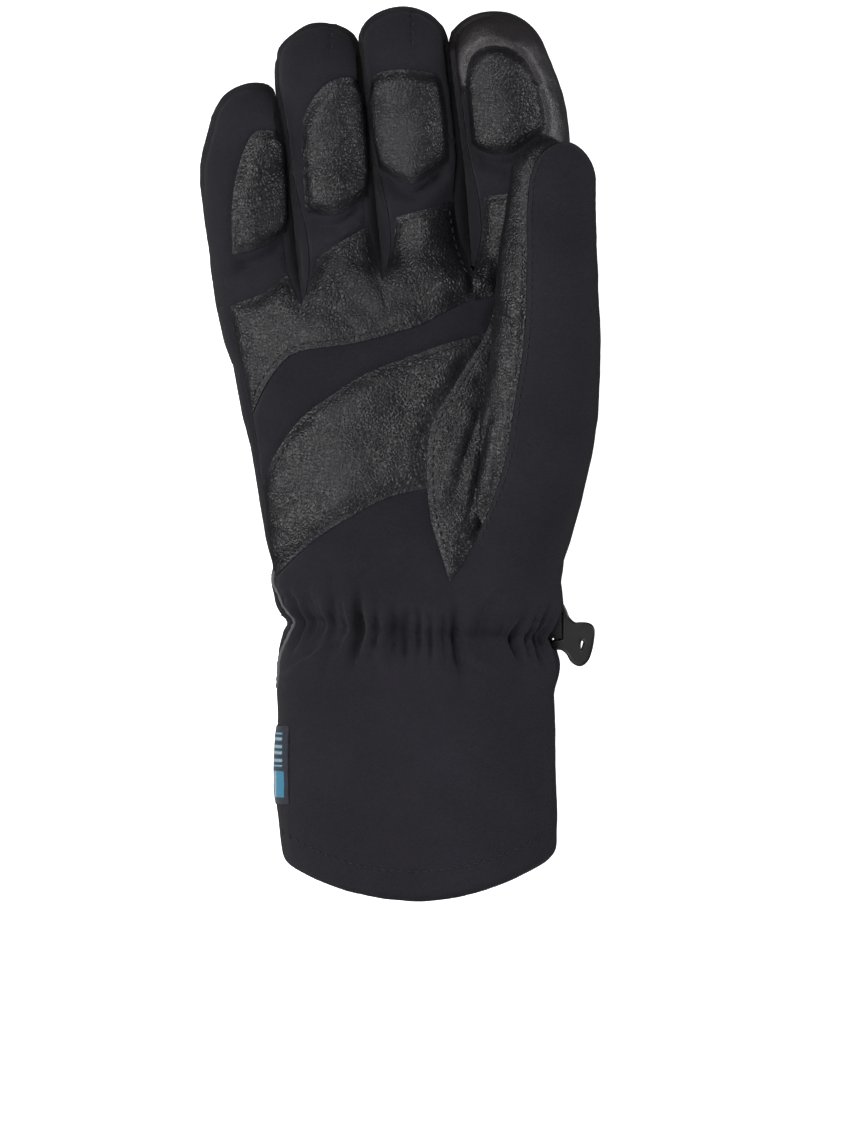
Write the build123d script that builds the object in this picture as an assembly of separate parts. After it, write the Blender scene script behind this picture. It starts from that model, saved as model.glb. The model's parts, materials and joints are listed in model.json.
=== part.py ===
from build123d import *
import math
import os

# Right-hand ski glove lying on its back: +Y to the finger tips, +X to the thumb, palm side up (+Z).
# It is drawn with y = 0 at the lowest point of the hem, and moved at the end so that the origin is the
# bottom centre of its box. All sizes are in millimetres.

# ---- lengths along the glove ----
CUFF_LENGTH = 86.0  # hem to wrist line
PALM_LENGTH = 128.0  # wrist line to the roots of the fingers
HEM_RADIUS = 80.0  # curve of the hem seen from the palm
HEM_CENTRE_X = 3.0

# ---- widths and thicknesses of the filled glove ----
CUFF_WIDTH = 90.6
CUFF_THICKNESS = 59.0
WRIST_WIDTH = 83.6
WRIST_THICKNESS = 50.0
WRIST_LIFT = 1.0  # the gathered wrist stands clear of the floor
PALM_THICKNESS = 50.0
KNUCKLE_THICKNESS = 41.0
WRIST_X = 5.0  # middle of the wrist
KNUCKLE_X = -7.0  # middle of the knuckles
FLAT_DEPTH = 0.4  # how deep the soft back is pressed flat where it rests

# ---- layers, from the outside in ----
SHELL = 1.2
MEMBRANE = 0.6
INSULATION = 3.4
LINING = 1.0
INSET_MEMBRANE = SHELL
INSET_INSULATION = SHELL + MEMBRANE
INSET_LINING = INSET_INSULATION + INSULATION
INSET_INSIDE = INSET_LINING + LINING

# ---- fingers: width at the root, length past the roots, tip radius, hinge past the roots, own lean ----
FINGERS = {
    "pinky": {"width": 28.5, "length": 52.5, "tip": 13.6, "hinge": 9.0, "lean": 2.0},
    "ring": {"width": 27.5, "length": 71.6, "tip": 14.0, "hinge": 22.0, "lean": 6.0},
    "middle": {"width": 29.0, "length": 76.6, "tip": 14.2, "hinge": 30.0, "lean": 6.0},
    "index": {"width": 30.0, "length": 75.2, "tip": 14.6, "hinge": 39.0, "lean": 6.0},
}
FINGER_LEAN = 6.0  # degrees that the gaps between the fingers lean away from the thumb
FINGER_GAP = 0.6
ROOT_SWELL = 0.9  # a finger's radius past half its width, so that its sides are pressed flat
ROOT_DEPTH = 26.0  # how far a finger's form reaches into the palm
FINGER_Z = 21.0
TIP_RISE = 5.0
FINGER_BEND = 60.0  # degrees
KNUCKLE_SEAM = 8.0  # the finger shells start this far before the roots
ROOT_SEAM = 4.0  # and the fingers' own insulation this far before them
KNUCKLE_WIDTH = sum(finger["width"] for finger in FINGERS.values())

# ---- thumb ----
THUMB_ROOT_RADIUS = 17.0
THUMB_KNEE_RADIUS = 16.6
THUMB_TIP_RADIUS = 14.5
THUMB_ROOT_V = 0.12  # share of the palm's length
THUMB_KNEE_V = 0.62
THUMB_PAST_ROOTS = 33.0  # the thumb's end, past the roots of the fingers
THUMB_HINGE_BACK = 39.0  # hinge to the thumb's end
THUMB_OVER_INDEX = 10.5  # the thumb lies this far out over the index finger
THUMB_CLEARANCE = 0.8
THUMB_BEND = 50.0  # degrees
THUMB_PLANE = 35.0  # degrees that its bending plane is tipped up from the palm

# ---- wrist ----
GATHER_HALF = 12.0
ELASTIC_HALF = 6.0
WRIST_BEND = 25.0  # degrees each way
JOINT_GAP = 0.35  # half the gap between the parts of a padded joint

# ---- small pieces ----
HEM_FOLD = 10.0
LABEL_LENGTH = 25.5
LABEL_WIDTH = 9.0
LABEL_THICKNESS = 0.5
LABEL_START = 30.7
PIPING_RADIUS = 1.1
PIPING_START = 69.0
PIPING_LENGTH = 38.0
CLIP_THICKNESS = 3.4
CLIP_Y = 88.0
CLIP_BAR_RADIUS = 1.0
CLIP_PLAY = 0.4
CLIP_SLOT = (-4.0, 6.0)  # along the bar, from the clip's middle
WEBBING_THICKNESS = 1.0
FAR = 400.0

WRIST_Y = CUFF_LENGTH
ROOTS_Y = CUFF_LENGTH + PALM_LENGTH
LEAN_X = -math.sin(math.radians(FINGER_LEAN))
LEAN_Y = math.cos(math.radians(FINGER_LEAN))


def half_width(v):
    """Half width of the palm, v = 0 at the wrist and 1 at the roots of the fingers."""
    return (WRIST_WIDTH + (KNUCKLE_WIDTH - WRIST_WIDTH) * v) / 2


def middle_x(v):
    return WRIST_X + (KNUCKLE_X - WRIST_X) * v


def palm_point(a, v):
    """A point on the palm in plan: a runs from -1, the outer edge, to 1, the thumb side."""
    return (middle_x(v) + a * half_width(v), WRIST_Y + v * PALM_LENGTH)


def box(low, high):
    size = [high[i] - low[i] for i in range(3)]
    centre = [(high[i] + low[i]) / 2 for i in range(3)]
    return Pos(*centre) * Box(*size)


def between(y_low, y_high):
    """Everything between two distances from the hem."""
    return box((-FAR, y_low, -FAR), (FAR, y_high, FAR))


def plan_prism(points, z_low=0.0, z_high=FAR):
    """An upright prism on an outline that is given in plan."""
    outline = make_face(Polyline(*points, close=True))
    return Pos(0, 0, z_low) * extrude(outline, z_high - z_low, dir=(0, 0, 1))


def tapered_capsule(start, end, start_radius, end_radius):
    """A round solid with a ball at each end and a cone that is tangent to both."""
    start, end = Vector(*start), Vector(*end)
    length = (end - start).length
    tilt = math.asin((start_radius - end_radius) / length)
    side, drop = math.cos(tilt), math.sin(tilt)
    low = (start_radius * side, start_radius * drop)
    high = (end_radius * side, length + end_radius * drop)
    bottom_turn = math.radians(-90) + (math.radians(90) + tilt) / 2
    top_turn = tilt + (math.radians(90) - tilt) / 2
    profile = [
        ThreePointArc(
            (0, -start_radius),
            (start_radius * math.cos(bottom_turn), start_radius * math.sin(bottom_turn)),
            low,
        ),
        Line(low, high),
        ThreePointArc(
            high,
            (end_radius * math.cos(top_turn), length + end_radius * math.sin(top_turn)),
            (0, length + end_radius),
        ),
        Line((0, length + end_radius), (0, -start_radius)),
    ]
    upright = Plane.XZ * make_face(profile)
    solid = revolve(upright, Axis.Z, 360)
    return Plane(origin=start, z_dir=end - start) * solid


# ---- forms: the outside of the glove, moved inwards by an inset ----


def body_section(y, x, width, thickness, lift, inset):
    plane = Plane(origin=(x, y, lift + thickness / 2), x_dir=(1, 0, 0), z_dir=(0, 1, 0))
    return plane * Ellipse(width / 2 - inset, thickness / 2 - inset)


def body_form(inset):
    """Cuff, wrist and palm in one smooth form."""
    low = -FLAT_DEPTH
    past_hem = 8.0
    rows = [
        (-past_hem, WRIST_X, CUFF_WIDTH - 1.0, CUFF_THICKNESS - 1.0, low),
        (CUFF_LENGTH * 0.42, WRIST_X - 1.0, CUFF_WIDTH, CUFF_THICKNESS, low),
        (WRIST_Y - GATHER_HALF, WRIST_X - 0.6, CUFF_WIDTH - 2.4, CUFF_THICKNESS - 3.0, low),
        (WRIST_Y, WRIST_X, WRIST_WIDTH, WRIST_THICKNESS, WRIST_LIFT),
        (WRIST_Y + 20.0, middle_x(0.16), 2 * half_width(0.16), PALM_THICKNESS, low),
        (WRIST_Y + 0.55 * PALM_LENGTH, middle_x(0.55), 2 * half_width(0.55), PALM_THICKNESS, low),
        (ROOTS_Y - inset, middle_x(1.0), 2 * half_width(1.0), KNUCKLE_THICKNESS, low + 0.8),
    ]
    return loft([body_section(*row, inset) for row in rows], ruled=True)


def finger_middle(name):
    """Where a finger's centre line crosses the line of the roots."""
    edge = KNUCKLE_X - KNUCKLE_WIDTH / 2
    for other, finger in FINGERS.items():
        if other == name:
            return edge + finger["width"] / 2
        edge += finger["width"]


def finger_edges(name):
    """The two edges of a finger on the line of its roots; the outer edges are open."""
    middle, width = finger_middle(name), FINGERS[name]["width"]
    outer, inner = middle - width / 2, middle + width / 2
    return (None if name == "pinky" else outer, None if name == "index" else inner)


def finger_point(name, past_roots):
    """A point on a finger's centre line, at a distance past the roots."""
    finger = FINGERS[name]
    x = finger_middle(name) - past_roots * math.tan(math.radians(finger["lean"]))
    rise = TIP_RISE * past_roots / (finger["length"] - finger["tip"])
    return (x, ROOTS_Y + past_roots, FINGER_Z + rise)


def side_prism(edge_x, near, far):
    """An upright slab beside a leaning line through the roots, from near to far across it."""
    start = (edge_x, ROOTS_Y)
    corners = []
    for across, along in ((near, -FAR), (far, -FAR), (far, FAR), (near, FAR)):
        corners.append((start[0] + across * LEAN_Y + along * LEAN_X, start[1] - across * LEAN_X + along * LEAN_Y))
    return plan_prism(corners, -FAR, FAR)


def finger_zone(name, inset=0.0):
    """The space of one finger between its neighbours, all the way up and down."""
    outer, inner = finger_edges(name)
    zone = side_prism(finger_middle(name), -FAR / 2, FAR / 2)
    if outer is not None:
        zone = zone & side_prism(outer, FINGER_GAP / 2 + inset, FAR / 2)
    if inner is not None:
        zone = zone & side_prism(inner, -FAR / 2, -FINGER_GAP / 2 - inset)
    return zone


def finger_form(name, inset):
    finger = FINGERS[name]
    root_radius = finger["width"] / 2 + ROOT_SWELL
    capsule = tapered_capsule(
        finger_point(name, -ROOT_DEPTH),
        finger_point(name, finger["length"] - finger["tip"]),
        root_radius - inset,
        finger["tip"] - inset,
    )
    return capsule & finger_zone(name, inset)


def beside_index_z(past_roots, x, radius):
    """Height at which the thumb, with this radius, lies just clear of the index finger."""
    index = FINGERS["index"]
    centre = finger_point("index", past_roots)
    reach = index["width"] / 2 + ROOT_SWELL + radius + THUMB_CLEARANCE
    return centre[2] + math.sqrt(reach**2 - (x - centre[0]) ** 2)


THUMB_END_Y = THUMB_PAST_ROOTS - THUMB_TIP_RADIUS
THUMB_TIP_X = finger_middle("index") + THUMB_OVER_INDEX
THUMB_TIP = (
    THUMB_TIP_X,
    ROOTS_Y + THUMB_END_Y,
    beside_index_z(THUMB_END_Y, THUMB_TIP_X, THUMB_TIP_RADIUS),
)
THUMB_KNEE = (
    middle_x(THUMB_KNEE_V) + half_width(THUMB_KNEE_V) * 0.93,
    WRIST_Y + THUMB_KNEE_V * PALM_LENGTH,
    PALM_THICKNESS * 0.92,
)
THUMB_ROOT = (
    middle_x(THUMB_ROOT_V) + half_width(THUMB_ROOT_V) * 0.56,
    WRIST_Y + THUMB_ROOT_V * PALM_LENGTH,
    PALM_THICKNESS * 0.6,
)


def thumb_form(inset):
    base = tapered_capsule(THUMB_ROOT, THUMB_KNEE, THUMB_ROOT_RADIUS - inset, THUMB_KNEE_RADIUS - inset)
    knee = Vector(*THUMB_KNEE)
    tip = Vector(*THUMB_TIP)
    start = knee + (knee - tip).normalized() * 6.0
    end = tapered_capsule(tuple(start), tuple(tip), THUMB_KNEE_RADIUS - 0.4 - inset, THUMB_TIP_RADIUS - inset)
    return base + end


def hem_keep():
    """Everything past the curved hem."""
    across = CUFF_WIDTH
    rise = HEM_RADIUS - math.sqrt(HEM_RADIUS**2 - (across / 2) ** 2)
    left, right = HEM_CENTRE_X - across / 2, HEM_CENTRE_X + across / 2
    edge = [
        ThreePointArc((left, rise), (HEM_CENTRE_X, 0), (right, rise)),
        Line((right, rise), (FAR, rise)),
        Line((FAR, rise), (FAR, FAR)),
        Line((FAR, FAR), (-FAR, FAR)),
        Line((-FAR, FAR), (-FAR, rise)),
        Line((-FAR, rise), (left, rise)),
    ]
    return Pos(0, 0, -FAR) * extrude(make_face(edge), 2 * FAR, dir=(0, 0, 1))


def glove_form(inset):
    form = body_form(inset) + thumb_form(inset)
    for name in FINGERS:
        form = form + finger_form(name, inset)
    above_floor = box((-FAR, -FAR, inset), (FAR, FAR, FAR))
    return form & hem_keep() & above_floor


FORMS = {}
for inset in (0.0, INSET_MEMBRANE, INSET_INSULATION, INSET_LINING, INSET_INSIDE):
    FORMS[inset] = glove_form(inset)


def layer(outer, inner):
    return FORMS[outer] - FORMS[inner]


# ---- joints ----


def joint_prism(point, along, bend_to, half_angle, side, both_ways=False):
    """The space on one side of a joint: side is 1 past the joint, -1 before it.

    Past the gap, the face leans back by half the bend on the side that closes.
    """
    reach = 60.0
    lean = reach * math.tan(math.radians(half_angle))
    back_lean = lean if both_ways else 0.0
    profile = [
        (side * JOINT_GAP, 0.0),
        (side * (JOINT_GAP + lean), reach),
        (side * FAR, reach),
        (side * FAR, -reach),
        (side * (JOINT_GAP + back_lean), -reach),
    ]
    axis = Vector(*along).cross(Vector(*bend_to))
    plane = Plane(origin=point, x_dir=along, z_dir=axis)
    face = plane * make_face(Polyline(*profile, close=True))
    return extrude(face, 60.0, dir=axis, both=True)


FINGER_MITRE = FINGER_BEND / 2 + 0.6
THUMB_MITRE = THUMB_BEND / 2 + 0.6
WRIST_MITRE = WRIST_BEND / 2 + 0.4
FINGER_HINGES = {name: finger_point(name, FINGERS[name]["hinge"]) for name in FINGERS}
THUMB_HINGE_Y = ROOTS_Y + THUMB_PAST_ROOTS - THUMB_HINGE_BACK
THUMB_SHARE = (THUMB_HINGE_Y - THUMB_KNEE[1]) / (THUMB_TIP[1] - THUMB_KNEE[1])
THUMB_HINGE = tuple(THUMB_KNEE[i] + (THUMB_TIP[i] - THUMB_KNEE[i]) * THUMB_SHARE for i in range(3))
THUMB_UP = math.radians(THUMB_PLANE)
THUMB_BEND_TO = (-math.cos(THUMB_UP), 0.0, math.sin(THUMB_UP))
WRIST_HINGE = (WRIST_X, WRIST_Y, WRIST_LIFT + WRIST_THICKNESS / 2)
FINGER_ALONG = (LEAN_X, LEAN_Y, 0.0)


def finger_side(name, side):
    return joint_prism(FINGER_HINGES[name], FINGER_ALONG, (0, 0, 1), FINGER_MITRE, side)


def thumb_side(side):
    return joint_prism(THUMB_HINGE, (0, 1, 0), THUMB_BEND_TO, THUMB_MITRE, side)


def wrist_side(side):
    return joint_prism(WRIST_HINGE, (0, 1, 0), (0, 0, 1), WRIST_MITRE, side, both_ways=True)


NODES = {}

# ---- outer shell of the hand ----
SEAM_Z = PALM_THICKNESS * 0.48
hand_zone = between(WRIST_Y + GATHER_HALF, FAR)
hand_shell = layer(0.0, INSET_MEMBRANE) & hand_zone
thumb_solid = thumb_form(0.0)
thumb_shell = hand_shell & thumb_solid
rest_shell = hand_shell - thumb_solid


def outline(*shares):
    return [palm_point(a, v) for a, v in shares]


UPPER_LEATHER = outline(
    (-0.92, 0.83), (-0.53, 0.92), (-0.48, 0.85), (-0.35, 0.96), (0.01, 1.05), (0.02, 0.91), (0.12, 1.06),
    (0.38, 1.10), (0.55, 0.95), (0.57, 1.11), (0.72, 1.12), (0.72, 0.88), (0.59, 0.85), (0.49, 0.85),
    (0.17, 0.79), (-0.26, 0.74), (-0.59, 0.72), (-0.84, 0.63), (-0.95, 0.57),
)  # fmt: skip
FLEX_BAND = outline(
    (-0.95, 0.57), (-0.84, 0.63), (-0.59, 0.72), (-0.26, 0.74), (0.17, 0.79), (0.49, 0.85), (0.59, 0.85),
    (0.56, 0.76), (0.05, 0.70), (-0.31, 0.64), (-0.60, 0.56), (-0.88, 0.45), (-0.96, 0.39),
)  # fmt: skip
LOWER_LEATHER = outline(
    (-0.96, 0.39), (-0.88, 0.45), (-0.60, 0.56), (-0.31, 0.64), (0.05, 0.70), (0.56, 0.76), (0.22, 0.55),
    (0.15, 0.44), (0.14, 0.37), (-0.13, 0.35), (-0.37, 0.31), (-0.63, 0.26), (-0.95, 0.15),
)  # fmt: skip
HEEL_FABRIC = outline(
    (-0.95, 0.15), (-0.63, 0.26), (-0.37, 0.31), (-0.13, 0.35), (0.14, 0.37), (0.17, 0.24), (0.23, 0.15),
    (0.19, 0.0), (-0.95, 0.0),
)  # fmt: skip
GUSSET = outline(
    (0.14, 0.37), (0.15, 0.44), (0.22, 0.55), (0.56, 0.76), (0.59, 0.85), (0.66, 0.98), (0.65, 0.80),
    (0.59, 0.63), (0.51, 0.48), (0.43, 0.35), (0.32, 0.22), (0.23, 0.15), (0.17, 0.24),
)  # fmt: skip
THUMB_STRIP = outline(
    (0.23, 0.15), (0.32, 0.22), (0.43, 0.35), (0.51, 0.48), (0.59, 0.63), (0.65, 0.80), (0.66, 1.30),
    (0.95, 1.30), (0.84, 1.17), (0.80, 0.90), (0.77, 0.68), (0.70, 0.50), (0.56, 0.33), (0.37, 0.19),
)  # fmt: skip
PALM_PATCHES = {
    "upper_palm_leather": UPPER_LEATHER,
    "palm_flex_band": FLEX_BAND,
    "lower_palm_leather": LOWER_LEATHER,
    "palm_heel_fabric": HEEL_FABRIC,
}

# The thumb's own panels: the strip is on its upper side, and the rest of it is fabric.
thumb_top = thumb_form(-2.0) - Pos(0, 0, -THUMB_KNEE_RADIUS * 0.35) * thumb_form(-2.0)
strip_space = plan_prism(THUMB_STRIP) & thumb_top
gusset_space = plan_prism(GUSSET, SEAM_Z)
NODES["thumb_strip_leather"] = thumb_shell & strip_space
NODES["thumb_back_fabric"] = thumb_shell - strip_space
NODES["thumb_gusset_leather"] = rest_shell & gusset_space
rest_shell = rest_shell - gusset_space

# Side walls of the fingers, where they face a neighbour.
WALL_DEPTH = SHELL + 1.4
WALL_SHORT = 9.0  # the walls end this far before the finger tips
WALL_START = 4.0
walls = {}
for name in FINGERS:
    outer, inner = finger_edges(name)
    length = FINGERS[name]["length"] - WALL_SHORT
    reach = between(ROOTS_Y - WALL_START, ROOTS_Y + length)
    for edge, sign, side in ((outer, 1, "outer"), (inner, -1, "inner")):
        if edge is None:
            continue
        near, far = sorted((sign * FINGER_GAP / 2, sign * (FINGER_GAP / 2 + WALL_DEPTH)))
        space = side_prism(edge, near, far) & reach
        walls[f"{name}_{side}_side_wall"] = (name, rest_shell & space)
        rest_shell = rest_shell - space
for node, (name, wall) in walls.items():
    NODES[node] = wall

for name, points in PALM_PATCHES.items():
    space = plan_prism(points, SEAM_Z)
    NODES[name] = rest_shell & space
    rest_shell = rest_shell - space

# Finger pads and the fabric strips below them, in shares of half the width and of the length.
PADS = {
    "pinky": [(-0.20, 0.69), (0.45, 0.72), (0.74, 0.68), (0.74, 0.02), (-0.43, -0.08), (-0.40, 0.30)],
    "ring": [(-0.46, 0.62), (0.16, 0.74), (0.74, 0.76), (0.74, 0.22), (0.02, 0.12), (-0.51, 0.14)],
    "middle": [(-0.74, 0.72), (-0.28, 0.74), (0.70, 0.74), (0.74, 0.36), (0.51, 0.29), (-0.14, 0.25), (-0.67, 0.28)],
    "index": [(-0.60, 0.81), (-0.11, 0.85), (0.40, 0.79), (0.80, 0.49), (0.46, 0.43), (-0.60, 0.39)],
}
STRIP_DEPTH = 0.22


def on_finger(name, shares):
    """Points across and along a finger, in plan."""
    finger = FINGERS[name]
    lean = math.tan(math.radians(FINGER_LEAN))
    points = []
    for across, along in shares:
        past = along * finger["length"]
        x = finger_middle(name) - past * lean + across * finger["width"] / 2
        points.append((x, ROOTS_Y + past))
    return points


for name in FINGERS:
    finger = FINGERS[name]
    pad_space = plan_prism(on_finger(name, PADS[name]), FINGER_Z)
    low = min(along for across, along in PADS[name])
    high = low + STRIP_DEPTH
    strip = [(-0.74, low - STRIP_DEPTH), (0.78, low - STRIP_DEPTH), (0.78, high), (-0.60, high)]
    flex_space = plan_prism(on_finger(name, strip), FINGER_Z) - pad_space
    zone = finger_zone(name) & between(ROOTS_Y - KNUCKLE_SEAM, FAR)
    finger_shell = rest_shell & zone
    NODES[f"{name}_pad"] = finger_shell & pad_space
    NODES[f"{name}_flex_strip"] = finger_shell & flex_space & finger_side(name, -1)
    finger_shell = finger_shell - pad_space - NODES[f"{name}_flex_strip"]
    if name == "index":
        cap_space = between(ROOTS_Y + FINGERS[name]["hinge"] + 6.0, FAR)
        cap_space = cap_space & box((-FAR, 0, FINGER_Z - 4.0), (FAR, FAR, FAR))
        NODES["index_tip_cap"] = finger_shell & cap_space
        finger_shell = finger_shell - cap_space
    NODES[f"{name}_shell"] = finger_shell
NODES["back_of_hand_shell"] = rest_shell & between(0, ROOTS_Y - KNUCKLE_SEAM)

# ---- inside the hand ----
NODES["membrane_insert"] = layer(INSET_MEMBRANE, INSET_INSULATION) & between(WRIST_Y + ELASTIC_HALF, FAR)
NODES["lining"] = layer(INSET_LINING, INSET_INSIDE)
insulation = layer(INSET_INSULATION, INSET_LINING)
hand_insulation = insulation & wrist_side(1)
for name in FINGERS:
    past_hinge = hand_insulation & finger_zone(name) & between(ROOTS_Y + 0.5, FAR)
    NODES[f"{name}_tip_insulation"] = past_hinge & finger_side(name, 1)
    hand_insulation = hand_insulation - (past_hinge - finger_side(name, -1))
thumb_insulation = hand_insulation & thumb_form(0.0)
hand_insulation = hand_insulation - thumb_insulation
NODES["thumb_tip_insulation"] = thumb_insulation & thumb_side(1) & between(THUMB_HINGE_Y - 12.0, FAR)
NODES["thumb_root_insulation"] = thumb_insulation & thumb_side(-1)
for name in FINGERS:
    root_space = finger_zone(name) & between(ROOTS_Y - ROOT_SEAM, FAR)
    NODES[f"{name}_root_insulation"] = hand_insulation & root_space
    hand_insulation = hand_insulation - root_space
palm_side = box((-FAR, -FAR, SEAM_Z), (FAR, FAR, FAR))
NODES["palm_insulation"] = hand_insulation & palm_side
NODES["back_insulation"] = hand_insulation - palm_side

# ---- wrist and cuff ----
shell = layer(0.0, INSET_MEMBRANE)
NODES["wrist_gather_shell"] = shell & between(WRIST_Y - GATHER_HALF, WRIST_Y + GATHER_HALF)
NODES["wrist_elastic"] = layer(INSET_MEMBRANE, INSET_INSULATION) & between(
    WRIST_Y - ELASTIC_HALF, WRIST_Y + ELASTIC_HALF
)
cuff_shell = shell & between(-FAR, WRIST_Y - GATHER_HALF)
above_seam = box((-FAR, -FAR, CUFF_THICKNESS / 2), (FAR, FAR, FAR))
NODES["cuff_palm_panel"] = cuff_shell & above_seam
NODES["cuff_back_panel"] = cuff_shell - above_seam
inside_cuff = layer(INSET_MEMBRANE, INSET_LINING)
past_fold = Pos(0, HEM_FOLD, 0) * hem_keep()
NODES["hem_fold"] = inside_cuff - past_fold
cuff_fill = inside_cuff & past_fold & wrist_side(-1)
NODES["cuff_insulation"] = cuff_fill - NODES["wrist_elastic"]

# ---- small pieces on the side seams ----
label_box = box(
    (-FAR, LABEL_START, CUFF_THICKNESS / 2 - LABEL_WIDTH / 2),
    (WRIST_X, LABEL_START + LABEL_LENGTH, CUFF_THICKNESS / 2 + LABEL_WIDTH / 2),
)
NODES["side_label"] = (body_form(-LABEL_THICKNESS) - body_form(0.0)) & label_box
piping_box = box(
    (-FAR, PIPING_START, SEAM_Z - PIPING_RADIUS),
    (WRIST_X, PIPING_START + PIPING_LENGTH, SEAM_Z + PIPING_RADIUS),
)
NODES["side_piping"] = (body_form(-PIPING_RADIUS) - body_form(0.0)) & piping_box

# ---- clip and its webbing ----
SIDE_X = WRIST_X + WRIST_WIDTH / 2
CLIP_X = SIDE_X + 2.6
CLIP_OUTLINE = [
    (0.0, 10.0), (3.2, 9.0), (5.0, 5.0), (8.0, 1.0), (12.0, 0.6), (13.0, -2.0), (11.6, -9.0), (8.8, -12.0),
    (6.4, -10.4), (4.6, -7.0), (0.0, -6.6), (-1.2, -3.0), (-1.2, 7.0),
]  # fmt: skip
CLIP_MIDDLE_Z = WRIST_LIFT + WRIST_THICKNESS / 2
HOOK_GAP = [(5.6, -4.0), (8.6, -2.4), (9.6, -5.6), (8.4, -8.6), (7.2, -7.6)]


def clip_points(points):
    return [(CLIP_X + x, CLIP_Y + y) for x, y in points]


clip_low, clip_high = CLIP_MIDDLE_Z - CLIP_THICKNESS / 2, CLIP_MIDDLE_Z + CLIP_THICKNESS / 2
loop_inner = CLIP_BAR_RADIUS + CLIP_PLAY
loop_outer = loop_inner + WEBBING_THICKNESS


def along_bar(radius, start, end):
    """A round bar on the clip's hinge line, between two distances from the clip's middle."""
    return Plane(origin=(CLIP_X, CLIP_Y + start, CLIP_MIDDLE_Z), z_dir=(0, 1, 0)) * Cylinder(
        radius, end - start, align=(Align.CENTER, Align.CENTER, Align.MIN)
    )


clip = plan_prism(clip_points(CLIP_OUTLINE), clip_low, clip_high)
clip = fillet(clip.edges().filter_by(Axis.Z), 0.9)
clip = clip - plan_prism(clip_points(HOOK_GAP), clip_low - 1, clip_high + 1)
clip = clip - along_bar(loop_outer + CLIP_PLAY, *CLIP_SLOT)
NODES["clip_hook"] = clip + along_bar(CLIP_BAR_RADIUS, CLIP_SLOT[0] - 1, CLIP_SLOT[1] + 1)

loop_start, loop_end = CLIP_SLOT[0] + CLIP_PLAY, CLIP_SLOT[1] - CLIP_PLAY
tails = box(
    (SIDE_X - 2.0, CLIP_Y + loop_start, CLIP_MIDDLE_Z - loop_outer),
    (CLIP_X, CLIP_Y + loop_end, CLIP_MIDDLE_Z + loop_outer),
)
between_tails = box(
    (SIDE_X + 0.4, CLIP_Y + loop_start - 1, CLIP_MIDDLE_Z - loop_inner),
    (CLIP_X, CLIP_Y + loop_end + 1, CLIP_MIDDLE_Z + loop_inner),
)
webbing = tails + along_bar(loop_outer, loop_start, loop_end)
webbing = webbing - between_tails - along_bar(loop_inner, loop_start - 1, loop_end + 1)
NODES["clip_webbing"] = webbing - body_form(0.0)

# ---- leave out crumbs that a cut leaves beside a panel ----
CRUMB_SHARE = 0.03


def without_crumbs(node):
    """The node's solids, without those under a small share of its volume."""
    solids = [solid for solid in node.solids() if solid.volume > CRUMB_SHARE * node.volume]
    return solids[0] if len(solids) == 1 else Compound(children=solids)


NODES = {name: without_crumbs(node) for name, node in NODES.items()}

# ---- move the origin to the bottom centre of the box, and write every node ----
low = [min(getattr(node.bounding_box().min, axis) for node in NODES.values()) for axis in "XYZ"]
high = [max(getattr(node.bounding_box().max, axis) for node in NODES.values()) for axis in "XYZ"]
shift = (-(low[0] + high[0]) / 2, -(low[1] + high[1]) / 2, -low[2])


def moved(point):
    return [round(point[i] + shift[i], 3) for i in range(3)]


os.makedirs("parts", exist_ok=True)
for name, node in NODES.items():
    export_step(Pos(*shift) * node, f"parts/{name}.step")

print("size", [round(high[i] - low[i], 2) for i in range(3)])
print("shift", [round(value, 3) for value in shift])
for name, point in FINGER_HINGES.items():
    print(name, "hinge", moved(point))
print("finger axis", [round(LEAN_Y, 5), round(-LEAN_X, 5), 0])
thumb_axis = Vector(0, 1, 0).cross(Vector(*THUMB_BEND_TO))
print("thumb hinge", moved(THUMB_HINGE), "axis", [round(value, 5) for value in thumb_axis])
print("wrist hinge", moved(WRIST_HINGE))
print("clip hinge", moved((CLIP_X, CLIP_Y, CLIP_MIDDLE_Z)))
print("thumb root, knee, tip", moved(THUMB_ROOT), moved(THUMB_KNEE), moved(THUMB_TIP))
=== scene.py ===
"""A right-hand ski glove lying on its back, palm up: its visible pieces, materials, light and camera."""
import bpy
import json
import math
import numpy as np
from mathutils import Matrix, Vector
from mathutils.bvhtree import BVHTree
from mathutils.kdtree import KDTree


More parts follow.
